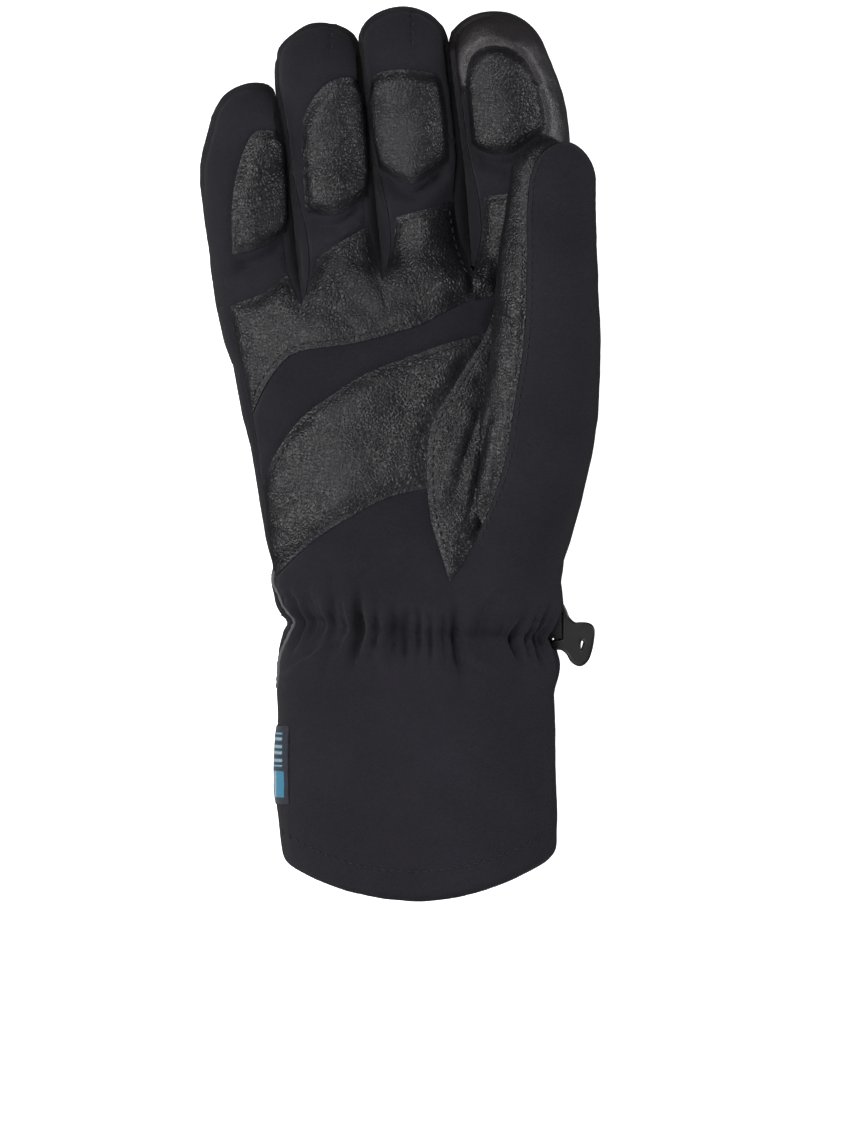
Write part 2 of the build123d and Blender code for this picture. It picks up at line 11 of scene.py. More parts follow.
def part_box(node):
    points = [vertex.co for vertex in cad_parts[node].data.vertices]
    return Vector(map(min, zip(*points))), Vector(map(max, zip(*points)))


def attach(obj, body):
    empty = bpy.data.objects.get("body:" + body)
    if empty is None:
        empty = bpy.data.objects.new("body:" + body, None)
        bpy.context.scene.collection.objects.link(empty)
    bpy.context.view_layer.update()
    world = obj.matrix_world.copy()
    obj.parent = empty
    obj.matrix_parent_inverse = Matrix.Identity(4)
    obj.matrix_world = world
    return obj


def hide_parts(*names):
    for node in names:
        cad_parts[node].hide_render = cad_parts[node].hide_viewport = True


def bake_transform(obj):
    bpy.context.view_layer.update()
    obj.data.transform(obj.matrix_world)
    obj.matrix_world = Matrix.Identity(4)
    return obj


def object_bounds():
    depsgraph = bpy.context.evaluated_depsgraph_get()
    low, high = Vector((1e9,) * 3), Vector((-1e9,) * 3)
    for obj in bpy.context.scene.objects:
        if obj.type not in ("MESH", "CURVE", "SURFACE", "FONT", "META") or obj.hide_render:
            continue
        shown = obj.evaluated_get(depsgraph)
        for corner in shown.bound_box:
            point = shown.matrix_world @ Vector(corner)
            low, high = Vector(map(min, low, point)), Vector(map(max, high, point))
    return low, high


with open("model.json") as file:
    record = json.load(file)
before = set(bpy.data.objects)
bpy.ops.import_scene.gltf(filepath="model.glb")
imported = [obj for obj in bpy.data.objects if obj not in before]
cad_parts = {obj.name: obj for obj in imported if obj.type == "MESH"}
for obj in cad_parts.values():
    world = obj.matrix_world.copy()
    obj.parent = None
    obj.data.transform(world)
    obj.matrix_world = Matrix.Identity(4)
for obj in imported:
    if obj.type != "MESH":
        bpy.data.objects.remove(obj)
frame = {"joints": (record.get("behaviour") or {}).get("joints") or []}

CAD_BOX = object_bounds()

# ---------------------------------------------------------------------------
# Units: everything is worked out in millimetres in a drawing frame whose y = 0 is the
# lowest point of the hem, and turned into metres in the CAD frame when a piece is made.
# ---------------------------------------------------------------------------
MM = 0.001
WRIST_X = 5.0
wrist_low, wrist_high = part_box("wrist_elastic")
SHIFT = np.array([
    (wrist_low[0] + wrist_high[0]) / 2 / MM - WRIST_X,
    CAD_BOX[0][1] / MM,
    0.0,
])


def to_metres(points):
    return (np.asarray(points, dtype=float) + SHIFT) * MM


def place(x, y, z):
    """A drawing point in metres, as a Vector."""
    return Vector(to_metres([x, y, z]))


# ---------------------------------------------------------------------------
# Small numeric tools
# ---------------------------------------------------------------------------
def profile(rows):
    """A smooth function through (position, value) rows, flat past both ends."""
    at, value = np.array(rows, dtype=float).T
    slope = np.gradient(value, at)

    def read(position):
        x = np.clip(position, at[0], at[-1])
        i = np.clip(np.searchsorted(at, x) - 1, 0, len(at) - 2)
        h = at[i + 1] - at[i]
        t = (x - at[i]) / h
        return (
            value[i] * (2 * t**3 - 3 * t**2 + 1)
            + slope[i] * h * (t**3 - 2 * t**2 + t)
            + value[i + 1] * (3 * t**2 - 2 * t**3)
            + slope[i + 1] * h * (t**3 - t**2)
        )

    return read


def smooth_min(a, b, k):
    h = np.clip(0.5 + 0.5 * (b - a) / k, 0, 1)
    return b * (1 - h) + a * h - k * h * (1 - h)


def smooth_max(a, b, k):
    return -smooth_min(-a, -b, k)


def smooth_step(low, high, x):
    t = np.clip((x - low) / (high - low), 0, 1)
    return t * t * (3 - 2 * t)


def bump(x, centre, half):
    """1 at the centre, falling smoothly to 0 at half away."""
    t = np.clip(np.abs(x - centre) / half, 0, 1)
    return (1 - t * t) ** 2


def curve_through(points, per_span=8, closed=False):
    """Points along a Catmull-Rom curve."""
    p = np.array(points, dtype=float)
    n = len(p)
    out = []
    spans = n if closed else n - 1
    for i in range(spans):
        if closed:
            a, b, c, d = p[i - 1], p[i], p[(i + 1) % n], p[(i + 2) % n]
        else:
            a, b, c, d = p[max(i - 1, 0)], p[i], p[i + 1], p[min(i + 2, n - 1)]
        for t in np.arange(per_span) / per_span:
            square, cube = 2 * a - 5 * b + 4 * c - d, 3 * b - a - 3 * c + d
            out.append(0.5 * (2 * b + (c - a) * t + square * t**2 + cube * t**3))
    if not closed:
        out.append(p[-1])
    return np.array(out)


def waves(points, seed, scale, octaves=3):
    """Soft seeded unevenness, about -1 to 1, from a few crossing sine waves."""
    rng = np.random.RandomState(seed)
    total = np.zeros(len(points))
    for octave in range(octaves):
        for _ in range(4):
            direction = rng.normal(size=3)
            direction /= np.linalg.norm(direction)
            frequency = 2 * math.pi / (scale / 1.8**octave)
            total += np.sin(points @ direction * frequency + rng.uniform(0, 6.28)) / 1.9**octave
    return total / 5.0


# ---------------------------------------------------------------------------
# The outside of the glove as a distance field
# ---------------------------------------------------------------------------
LEFT_EDGE = profile([(-8, -38.5), (11, -39.5), (28, -41.4), (58, -41.5), (73, -41.2), (80, -38.8),
                     (87, -37.2), (97, -39.6), (107, -42.8), (126, -46.8), (146, -50.5), (166, -54.8),
                     (185, -58.1), (200, -60.8), (214, -61.4)])
RIGHT_EDGE = profile([(-8, 49.5), (12, 49.6), (38, 49.3), (58, 48.7), (73, 47.6), (84, 46.2), (97, 47.2),
                      (107, 47.8), (130, 48.4), (160, 49.5), (190, 51.5), (214, 52.5)])
TOP_EDGE = profile([(-8, 57.6), (36, 58.8), (66, 57.0), (80, 51.2), (86, 50.0), (94, 50.4), (110, 49.4),
                    (135, 49.6), (160, 48.6), (185, 45.5), (203, 41.5), (214, 39.0)])
BOTTOM_EDGE = profile([(-8, -0.2), (66, -0.2), (80, 1.2), (86, 1.8), (94, 1.0), (104, -0.2), (185, -0.3),
                       (203, 0.8), (214, 2.2)])
ROUNDNESS = profile([(-8, 2.15), (66, 2.2), (86, 2.2), (120, 2.35), (214, 2.5)])


def body_distance(p):
    """Cuff, wrist and palm: rounded sections that change along the glove."""
    y = p[:, 1]
    left, right, top, low = LEFT_EDGE(y), RIGHT_EDGE(y), TOP_EDGE(y), BOTTOM_EDGE(y)
    width, height, n = (right - left) / 2, (top - low) / 2, ROUNDNESS(y)
    u = np.abs(p[:, 0] - (left + right) / 2) / width + 1e-6
    w = np.abs(p[:, 2] - (top + low) / 2) / height + 1e-6
    q = (u**n + w**n) ** (1 / n)
    slope_x = u ** (n - 1) / width * q ** (1 - n)
    slope_z = w ** (n - 1) / height * q ** (1 - n)
    inside = (q - 1) / np.sqrt(slope_x**2 + slope_z**2)
    return smooth_max(inside, y - 210.0, 14.0)


# Centre lines of the fingers and thumb: x, y, z and radius from root to tip.
FINGER_LINES = {
    "pinky": [(-45.5, 188, 22, 13.0), (-48.6, 206, 21.5, 14.0), (-50.4, 222, 21.5, 15.1),
              (-51.4, 238, 22.5, 15.5), (-49.0, 251.2, 25.0, 14.8)],
    "ring": [(-17.5, 190, 21.5, 13.5), (-21.0, 215, 21.5, 15.8), (-23.6, 234, 22.0, 16.4),
             (-26.0, 254, 23.5, 16.2), (-27.0, 269.8, 26.5, 15.8)],
    "middle": [(10.0, 190, 21.5, 13.5), (6.4, 215, 21.5, 16.0), (4.0, 238, 22.0, 16.8),
               (1.6, 258, 23.5, 17.0), (-0.7, 274.2, 26.0, 16.6)],
    "index": [(36.5, 190, 20.0, 14.0), (36.6, 215, 20.0, 16.8), (35.6, 240, 21.0, 18.2),
              (33.2, 258, 23.0, 18.2), (29.0, 272.4, 25.0, 17.0)],
}
THUMB_LINE = [(28.0, 98, 28.5, 15.5), (32.6, 108, 31.5, 17.2), (38.4, 130, 37.0, 18.2),
              (44.0, 158, 44.0, 18.0), (45.9, 182, 48.5, 16.9), (46.3, 205, 50.5, 15.6),
              (47.1, 222, 51.0, 14.2), (48.0, 233.2, 51.0, 13.2)]
CREASES = {
    ("pinky", "ring"): profile([(190, -33.0), (205, -34.8), (222, -36.6), (238, -38.4), (252, -40.4),
                                (266, -43.2)]),
    ("ring", "middle"): profile([(190, -6.0), (205, -7.6), (225, -9.6), (245, -11.4), (262, -13.2),
                                 (282, -15.4)]),
    ("middle", "index"): profile([(190, 22.5), (205, 21.8), (225, 20.4), (245, 18.6), (262, 16.4),
                                  (284, 13.8)]),
}
FINGERS = list(FINGER_LINES)


def crease_beside(finger):
    """The creases on the outer and on the thumb side of a finger, or None."""
    outer = [c for pair, c in CREASES.items() if pair[1] == finger]
    inner = [c for pair, c in CREASES.items() if pair[0] == finger]
    return (outer[0] if outer else None, inner[0] if inner else None)


def tube_distance(p, line):
    """Distance to a round tube along a smooth centre line with a changing radius."""
    path = curve_through(line, 4)
    best = np.full(len(p), 1e9)
    for a, b in zip(path[:-1], path[1:]):
        along = b[:3] - a[:3]
        t = np.clip((p - a[:3]) @ along / (along @ along), 0, 1)
        gap = np.linalg.norm(p - a[:3] - t[:, None] * along, axis=1)
        best = np.minimum(best, gap - (a[3] + (b[3] - a[3]) * t))
    return best


def pressed(distance, p, finger, overlap, softness):
    """A finger's distance, flattened where it meets its neighbours, this far past the crease between them."""
    outer, inner = crease_beside(finger)
    if outer is not None:
        distance = smooth_max(distance, outer(p[:, 1]) - overlap - p[:, 0], softness)
    if inner is not None:
        distance = smooth_max(distance, p[:, 0] - inner(p[:, 1]) - overlap, softness)
    return distance


def finger_distance(p, finger):
    return pressed(tube_distance(p, FINGER_LINES[finger]), p, finger, 1.7, 3.0)


def fingers_and_body(p):
    """The whole glove without its thumb."""
    body = body_distance(p)
    total = body
    near_fingers = p[:, 1] > 175
    if near_fingers.any():
        q = p[near_fingers]
        parts = [smooth_min(body[near_fingers], finger_distance(q, finger), 7.0) for finger in FINGERS]
        total = body.copy()
        total[near_fingers] = np.min(parts, axis=0)
    return total


def thumb_distance(p):
    return tube_distance(p, THUMB_LINE)


def gradient(field, p, step=0.25):
    out = np.zeros_like(p)
    for axis in range(3):
        offset = np.zeros(3)
        offset[axis] = step
        out[:, axis] = (field(p + offset) - field(p - offset)) / (2 * step)
    return out / np.maximum(np.linalg.norm(out, axis=1, keepdims=True), 1e-9)


def sampled(field, low, high, cell, coarse):
    """The field on a grid, measured finely only near its zero surface, and the grid's first point."""
    count = [int(math.ceil((high[i] - low[i]) / (cell * coarse))) for i in range(3)]
    axes = [low[i] + (np.arange(count[i]) + 0.5) * cell * coarse for i in range(3)]
    grid = np.stack(np.meshgrid(*axes, indexing="ij"), -1).reshape(-1, 3)
    values = field(grid).reshape(count)
    for axis in range(3):
        values = np.repeat(values, coarse, axis=axis)
    near = np.argwhere(np.abs(values) < cell * coarse * 1.8)
    origin = np.array(low) + 0.5 * cell
    values[tuple(near.T)] = field(origin + near * cell)
    return values, origin


def crossings(values):
    """For every grid cell: the sum of the places where the surface crosses its edges, and their number."""
    cells = [size - 1 for size in values.shape]
    total = np.zeros(cells + [3])
    hits = np.zeros(cells)
    for axis in range(3):
        others = [i for i in range(3) if i != axis]
        for d1, d2 in ((0, 0), (0, 1), (1, 0), (1, 1)):
            start = [0, 0, 0]
            start[others[0]], start[others[1]] = d1, d2
            end = list(start)
            end[axis] = 1
            a, b = [values[tuple(slice(d, d + n) for d, n in zip(corner, cells))] for corner in (start, end)]
            crossing = (a < 0) != (b < 0)
            t = np.where(crossing, a / np.where(crossing, a - b, 1), 0)
            for i in range(3):
                total[..., i] += crossing * (start[i] + (t if i == axis else 0))
            hits += crossing
    return total, hits


def quads_across(inside, axis, number):
    """A face for every grid edge along an axis that the surface crosses, joining the four cells round it."""
    others = [i for i in range(3) if i != axis]
    span = [slice(1, size - 1) for size in inside.shape]
    span[axis] = slice(0, inside.shape[axis] - 1)
    ahead = list(span)
    ahead[axis] = slice(1, inside.shape[axis])
    edges = np.argwhere(inside[tuple(span)] != inside[tuple(ahead)])
    edges = edges + np.array([part.start for part in span])
    flip = inside[tuple(edges.T)]
    ring = []
    for d1, d2 in ((0, 0), (1, 0), (1, 1), (0, 1)):
        back = edges.copy()
        back[:, others[0]] -= d1
        back[:, others[1]] -= d2
        ring.append(number[tuple(back.T)])
    quads = np.stack(ring, 1)
    turn = flip if axis != 1 else ~flip
    quads[turn] = quads[turn][:, ::-1]
    return quads


def surface_of(field, low, high, cell, coarse=3):
    """Mesh of the zero surface of a distance field: points, normals and triangles."""
    values, origin = sampled(field, low, high, cell, coarse)
    total, hits = crossings(values)
    active = hits > 0
    number = np.full(hits.shape, -1)
    number[active] = np.arange(active.sum())
    points = origin + (np.argwhere(active) + total[active] / hits[active][:, None]) * cell
    quads = np.concatenate([quads_across(values < 0, axis, number) for axis in range(3)])
    for _ in range(2):
        points = points - gradient(field, points) * field(points)[:, None]
    faces = np.concatenate([quads[:, [0, 2, 1]], quads[:, [0, 3, 2]]])
    return {"points": points, "normals": gradient(field, points), "faces": faces}


# ---------------------------------------------------------------------------
# Cutting a surface along a line
# ---------------------------------------------------------------------------
def with_faces(surface, faces):
    """A surface of only these faces, with the points they use."""
    used, numbers = np.unique(faces, return_inverse=True)
    out = {key: value[used] for key, value in surface.items() if key != "faces"}
    out["faces"] = numbers.reshape(faces.shape)
    return out


def kept(surface, side):
    """The part of a surface where side is above 0, with a clean edge along side = 0."""
    faces = surface["faces"]
    positive = side > 0
    count = positive[faces].sum(axis=1)
    whole = faces[count == 3]
    new_faces = [whole]
    made_a, made_b = [], []
    for wanted in (1, 2):
        crossed = faces[count == wanted]
        if not len(crossed):
            continue
        odd = positive[crossed] if wanted == 1 else ~positive[crossed]
        first = np.argmax(odd, axis=1)
        rows = np.arange(len(crossed))
        a, b, c = [crossed[rows, (first + turn) % 3] for turn in range(3)]
        base = sum(len(x) for x in made_a)
        made_a += [np.minimum(a, b), np.minimum(a, c)]
        made_b += [np.maximum(a, b), np.maximum(a, c)]
        ab = -(base + rows) - 1
        ac = -(base + len(crossed) + rows) - 1
        if wanted == 1:
            new_faces.append(np.stack([a, ab, ac], 1))
        else:
            new_faces.append(np.stack([ab, b, c], 1))
            new_faces.append(np.stack([ab, c, ac], 1))
    faces = np.concatenate(new_faces)
    out = {key: surface[key] for key in surface if key != "faces"}
    if made_a:
        a, b = np.concatenate(made_a), np.concatenate(made_b)
        pairs, back = np.unique(np.stack([a, b], 1), axis=0, return_inverse=True)
        back = back.reshape(-1)
        a, b = pairs.T
        t = (side[a] / (side[a] - side[b]))[:, None]
        size = len(surface["points"])
        for key in out:
            value = surface[key]
            out[key] = np.concatenate([value, value[a] * (1 - t) + value[b] * t])
        negative = faces < 0
        faces[negative] = size + back[-faces[negative] - 1]
    return with_faces(out, faces)


def split(surface, side_function):
    """The part of a surface where the side function is above 0, and the rest."""
    side = side_function(surface["points"])
    return kept(surface, side), kept(surface, -side)


def open_edges(surface):
    """The edges that belong to one face only, as pairs of point numbers."""
    f = surface["faces"]
    edges = np.sort(np.concatenate([f[:, [0, 1]], f[:, [1, 2]], f[:, [2, 0]]]), axis=1)
    unique, counts = np.unique(edges, axis=0, return_counts=True)
    return unique[counts == 1]


# ---------------------------------------------------------------------------
# Panel outlines, seen from the palm: x, y
# ---------------------------------------------------------------------------
def outline(*runs):
    """A closed outline from runs that are each a smooth curve; corners are where runs meet."""
    return np.concatenate([curve_through(run, 6) for run in runs])


def inside_outline(p, line):
    """Distance from the outline in plan, above 0 inside it."""
    x, y = p[:, 0], p[:, 1]
    best = np.full(len(p), 1e9)
    inside = np.zeros(len(p), dtype=bool)
    for a, b in zip(line, np.roll(line, -1, axis=0)):
        edge = b - a
        size = edge @ edge
        if size < 1e-9:
            continue
        t = np.clip(((x - a[0]) * edge[0] + (y - a[1]) * edge[1]) / size, 0, 1)
        best = np.minimum(best, np.hypot(x - a[0] - t * edge[0], y - a[1] - t * edge[1]))
        crosses = (a[1] > y) != (b[1] > y)
        if a[1] != b[1]:
            inside ^= crosses & (x < a[0] + (y - a[1]) * edge[0] / edge[1])
    return np.where(inside, best, -best)


UPPER_LOW_EDGE = [(-50.2, 157.5), (-46, 166.4), (-40.3, 174.3), (-34.7, 178), (-26.3, 179.4), (-17.8, 180.5),
                  (-6.5, 183.3), (4.7, 186.7), (13.2, 191.2), (21.6, 194.9), (32, 196.5)]
UPPER_TOP_EDGES = [
    [(44, 230), (33, 229.4), (25.8, 228.6)],
    [(25.8, 228.6), (24.6, 214), (22.2, 203.5)],
    [(22.2, 203.5), (18.2, 214), (16.0, 227.0)],
    [(16.0, 227.0), (7, 224.6), (-3.0, 222.0)],
    [(-3.0, 222.0), (-4.8, 210), (-7.2, 200.5)],
    [(-7.2, 200.5), (-10.2, 210), (-12.0, 219.0)],
    [(-12.0, 219.0), (-20.0, 214.4), (-28.6, 208.6)],
    [(-28.6, 208.6), (-30.6, 201), (-33.8, 192.5)],
    [(-33.8, 192.5), (-36.4, 198), (-38.4, 203.4)],
    [(-38.4, 203.4), (-46.0, 197.4), (-57.2, 193.0)],
]
UPPER_LEATHER = outline(
    [(-57.2, 193.0), (-55.4, 180.5), (-52.6, 169.3), (-50.2, 157.5)],
    UPPER_LOW_EDGE,
    [(32, 196.5), (44, 200), (44, 230)],
    *UPPER_TOP_EDGES,
)
LOWER_TOP_EDGE = [(-46.4, 134), (-43.2, 143), (-37.7, 151.7), (-32.3, 157.7), (-24.2, 163.6), (-12.2, 171),
                  (-1, 175.4), (13.2, 180.5), (27.5, 184.4)]
LOWER_LOW_EDGE = [(7.3, 133.5), (-5.2, 130.6), (-16, 125.2), (-26.8, 118.7), (-35, 112.2), (-42.6, 105.0)]
LOWER_LEATHER = outline(
    LOWER_TOP_EDGE,
    [(27.5, 184.4), (38, 188), (38, 140), (7.3, 133.5)],
    LOWER_LOW_EDGE,
    [(-42.6, 105.0), (-44.6, 116), (-46.4, 134)],
)
GUSSET_EDGE = [(14.6, 103), (10.4, 116.4), (8.4, 123.6), (7.3, 133.5), (7.2, 142), (7.7, 150), (10, 157.5),
               (14.4, 164.5), (20, 173.5), (26.2, 183.8), (29.4, 193), (31, 200)]
GUSSET = outline(
    GUSSET_EDGE,
    [(31, 200), (34, 214), (60, 214)],
    [(60, 214), (60, 128), (27.4, 128)],
    [(27.4, 128), (23.5, 118.7), (19.2, 110), (14.6, 103)],
)
FLEX_BAND = outline(
    [(-50.4, 159), (-48.6, 147), (-46.6, 132)],
    [(-46.6, 132), (0, 150), (40, 180)],
    [(40, 180), (40, 200), (10, 200)],
    [(10, 200), (-45, 185), (-50.4, 159)],
)
HEEL_FABRIC = outline(
    [(-46.6, 140), (-44.2, 117), (-42.4, 104), (-40.2, 90)],
    [(-40.2, 90), (56.0, 90)],
    [(56.0, 90), (56.0, 140)],
    [(56.0, 140), (-46.6, 140)],
)
# Each finger pad: its foot across the finger, and the run over its top, from the thumb side round.
PAD_FOOT = {
    "pinky": [(-56.4, 209.6), (-46.5, 212.4), (-38.4, 217.8)],
    "ring": [(-32.4, 223.8), (-22.7, 222.8), (-12.4, 228.8)],
    "middle": [(-8.6, 238.4), (2.2, 232.8), (14.4, 240.6)],
    "index": [(21.6, 245.8), (27, 242.8), (35.5, 243.2), (46.0, 250.6)],
}
PAD_TOP = {
    "pinky": [(-38.4, 217.8), (-38.4, 230), (-39.6, 241), (-41.0, 248.4), (-45.0, 250.2), (-50.0, 248.4),
              (-54.2, 238.5), (-56.4, 226), (-56.4, 209.6)],
    "ring": [(-12.0, 228.8), (-12.4, 246), (-14.0, 260), (-15.8, 266.2), (-20.5, 267.2), (-26.6, 264.2),
             (-31.8, 257.0), (-33.8, 248), (-32.4, 223.8)],
    "middle": [(14.4, 240.6), (14.2, 249), (13.0, 260), (11.2, 267.2), (6.0, 269.2), (-4.2, 269.6),
               (-10.6, 267.2), (-11.2, 256), (-8.6, 238.4)],
    "index": [(46.0, 250.6), (45.2, 259), (42.0, 268.4), (36.8, 275.4), (29.2, 277.6), (22.6, 275.4),
              (19.8, 268.0), (20.6, 256), (21.6, 245.8)],
}
PADS = {finger: outline(PAD_FOOT[finger], PAD_TOP[finger]) for finger in FINGERS}
CAP_EDGE = [(44, 248), (38, 262), (28, 270), (18.4, 262)]
INDEX_CAP = outline(
    [(18.4, 262), (12, 280), (18, 300)],
    [(18, 300), (64, 300), (64, 241)],
    [(64, 241), (52, 244), (44, 248)],
    CAP_EDGE,
)
STRIP_SEAM = profile([(98, 12.0), (104.6, 15.6), (110, 19.2), (118.7, 23.5), (127.9, 27.4), (138.2, 31.1),
                      (149.8, 33.7), (159.9, 35), (173.6, 37.3), (187.4, 38.7), (208.6, 39.1), (226.8, 39.4),
                      (235.3, 40.6), (241, 43.2), (245, 47.6), (247.6, 54)])
CUFF_TOP_Y = 74.0  # the wrist's own panel lies between these two
HAND_LOW_Y = 98.0
KNUCKLE_Y = 206.0  # where the fingers' panels start at the back
SEAM_Z = 25.0  # height of the side seams of the hand
CUFF_SEAM_Z = 29.5
PAD_LOW_Z = 24.0  # how far down a finger's side each of its panels reaches
STRIP_LOW_Z = 18.0
CAP_LOW_Z = 16.0
HEM_RADIUS = 80.0
HEM_CENTRE_X = 3.0
HEM_FOLD_DEPTH = 11.0


def hem_height(x):
    """How far the curved hem stands above its lowest point."""
    return HEM_RADIUS - np.sqrt(HEM_RADIUS**2 - np.clip(x - HEM_CENTRE_X, -79, 79) ** 2)


# ---------------------------------------------------------------------------
# Folds that run over several panels
# ---------------------------------------------------------------------------
CINCH = profile([(-45, 91.0), (-20, 88.5), (5, 85.5), (30, 84.5), (50, 85.5)])
WRIST_Z = 26.0
WRIST_FLATNESS = 0.62
FINE_PLEATS = 48
BROAD_PLEATS = 23


def pleats(p):
    """Gathers of the wrist: uneven pleats round the cinched band, and a few long folds out of it."""
    turn = np.arctan2(p[:, 2] - WRIST_Z, (p[:, 0] - WRIST_X) * WRIST_FLATNESS)
    from_cinch = p[:, 1] - CINCH(p[:, 0])
    fine = FINE_PLEATS * turn + 0.06 * from_cinch
    fine += 2.6 * np.sin(3 * turn + 1.0) + 1.9 * np.sin(7 * turn + 2.0)
    broad = BROAD_PLEATS * turn + 2.2 * np.sin(2 * turn + 0.4) + 1.4 * np.sin(5 * turn + 1.2)
    uneven = 0.95 + 0.35 * np.sin(4 * turn + 0.7) + 0.25 * np.sin(9 * turn + 2.2)
    reach = 17.0 + 6.0 * np.sin(6 * turn + 0.5)
    sharp = 1.9 * np.abs(np.sin(fine / 2)) ** 0.7 - 1.2
    rounded = 1.9 * np.abs(np.sin(broad / 2)) ** 0.8 - 1.2
    lift = 1.9 * uneven * sharp * np.exp(-((from_cinch / 7.5) ** 2))
    lift += 2.0 * uneven * rounded * bump(from_cinch, 0.0, reach)
    puff_above = 1.7 * bump(from_cinch, 10.0, 9.0)
    puff_below = 1.9 * bump(from_cinch, -10.0, 10.0)
    cinch = -1.5 * np.exp(-((from_cinch / 2.4) ** 2))
    return lift + puff_above + puff_below + cinch


def fold(p, line, width, height, top=True):
    """A soft ridge along a line in plan, with a crease at its foot."""
    path = curve_through(line, 6)
    best = np.full(len(p), 1e9)
    side = np.zeros(len(p))
    share = np.zeros(len(p))
    for i, (a, b) in enumerate(zip(path[:-1], path[1:])):
        edge = b - a
        t = np.clip(((p[:, :2] - a) @ edge) / (edge @ edge), 0, 1)
        gap = p[:, :2] - a - t[:, None] * edge
        distance = np.hypot(gap[:, 0], gap[:, 1])
        closer = distance < best
        best = np.where(closer, distance, best)
        side = np.where(closer, np.sign(edge[0] * gap[:, 1] - edge[1] * gap[:, 0]), side)
        share = np.where(closer, (i + t) / (len(path) - 1), share)
    fade = np.sin(np.clip(share, 0, 1) * math.pi) ** 0.6
    signed = best * side
    ridge = np.exp(-((signed / width) ** 2))
    ridge -= 0.75 * np.exp(-(((signed + width * 1.1) / (width * 0.45)) ** 2))
    facing = smooth_step(20, 30, p[:, 2]) if top else smooth_step(30, 20, p[:, 2])
    return height * ridge * fade * facing


# Folds on the palm side: line, width, height.
PALM_FOLDS = [
    ([(-21, 83), (-29, 77), (-40, 70)], 2.6, 1.3),
    ([(-3, 92.5), (4, 95.5), (14, 92)], 2.0, 0.8),
    ([(17, 82), (24, 76), (36, 71)], 2.4, 1.0),
    ([(-8, 81), (-6, 73), (-10, 64)], 2.6, 0.7),
    ([(30, 82), (33, 74), (31, 62)], 2.4, 0.7),
    ([(-26, 93), (-22, 103), (-12, 110)], 3.2, 0.8),
    ([(20, 91), (26, 99), (34, 104)], 2.6, 0.8),
    ([(-34, 55), (-12, 50), (14, 53)], 7.0, 0.45),
    ([(40, 44), (20, 34), (-6, 33)], 8.0, 0.45),
    ([(-44, 108), (-36, 101), (-24, 99)], 3.0, 0.8),
    ([(-58, 200), (-50, 204), (-42, 210)], 2.2, 0.6),
    ([(-31, 219), (-22, 215.5), (-13, 222)], 1.8, 0.7),
    ([(-5, 229), (4, 227), (14, 231)], 1.8, 0.7),
    ([(23, 238), (30, 235), (33, 236)], 1.8, 0.8),
    ([(12, 128), (16, 143), (22, 160)], 2.4, 0.7),
    ([(18, 122), (22, 138), (27, 160)], 1.6, 0.7),
    ([(22, 120), (27, 138), (31, 162)], 1.8, 0.8),
]
BACK_FOLDS = [
    ([(-36, 104), (-10, 110), (20, 106)], 4.0, 0.8),
    ([(-44, 124), (-14, 122), (16, 128)], 6.0, 0.6),
    ([(-52, 196), (-20, 203), (10, 202), (36, 196)], 3.5, 0.8),
    ([(-30, 60), (0, 54), (28, 60)], 6.0, 0.5),
]


def valley(p, line, below, width, depth):
    """A soft trough that runs beside a line in plan, a little below it."""
    path = curve_through(line, 5)
    low = np.interp(p[:, 0], path[:, 0], path[:, 1]) - below
    inside = smooth_step(-1.0, 3.0, p[:, 0] - path[0, 0]) * smooth_step(-1.0, 3.0, path[-1, 0] - p[:, 0])
    facing = smooth_step(24, 32, p[:, 2])
    return -depth * np.exp(-(((p[:, 1] - low) / width) ** 2)) * inside * facing


TIP_SEAM_RISE = 4.5
PUCKERS = 19  # round half a fingertip
INDEX_SHARE = 0.25  # the index fingertip's cap hides most of its puckers


def tip_seams(p):
    """The seam that runs up the side of each finger and over its tip, with small puckers."""
    lift = np.zeros(len(p))
    for finger in FINGERS:
        line = FINGER_LINES[finger]
        tip_x, tip_y, _, radius = line[-1]
        root_y = line[1][1]
        rise = TIP_SEAM_RISE * smooth_step(root_y, tip_y, p[:, 1])
        height = p[:, 2] - (np.interp(p[:, 1], [row[1] for row in line], [row[2] for row in line]) + rise)
        near = smooth_step(tip_y - 30, tip_y - 10, p[:, 1])
        if finger == "index":
            near = near * INDEX_SHARE
        near = near * (np.abs(p[:, 0] - tip_x) < radius + 12)
        turn = np.arctan2(p[:, 1] - (tip_y - 6), p[:, 0] - tip_x)
        pucker = 0.5 + 0.5 * np.sin(turn * PUCKERS + 2.6 * np.sin(turn * 4 + tip_x))
        ridge = (0.20 + 0.42 * pucker) * np.exp(-((height / 1.3) ** 2))
        trench = -0.65 * np.exp(-(((height - 2.6) / 1.0) ** 2)) * (0.6 + 0.4 * pucker)
        lift += (ridge + trench) * near * (lift == 0)
    for finger in ("ring", "middle"):
        tip_x, tip_y, _, _ = FINGER_LINES[finger][-1]
        along = smooth_step(tip_y + 2.0, tip_y + 5.0, p[:, 1]) * smooth_step(26, 32, p[:, 2])
        across = p[:, 0] - (tip_x + 2.4) - 0.25 * np.sin(p[:, 1] * 1.9)
        lift -= 0.55 * np.exp(-((across / 0.7) ** 2)) * along
    return lift


def clear_of_creases(p, far, near):
    """0 where two fingers press on each other, rising to 1 from near to far from the crease."""
    clear = np.ones(len(p))
    past_roots = smooth_step(186, 200, p[:, 1])
    for crease in CREASES.values():
        clear *= 1 - smooth_step(far, near, np.abs(p[:, 0] - crease(p[:, 1]))) * past_roots
    return clear


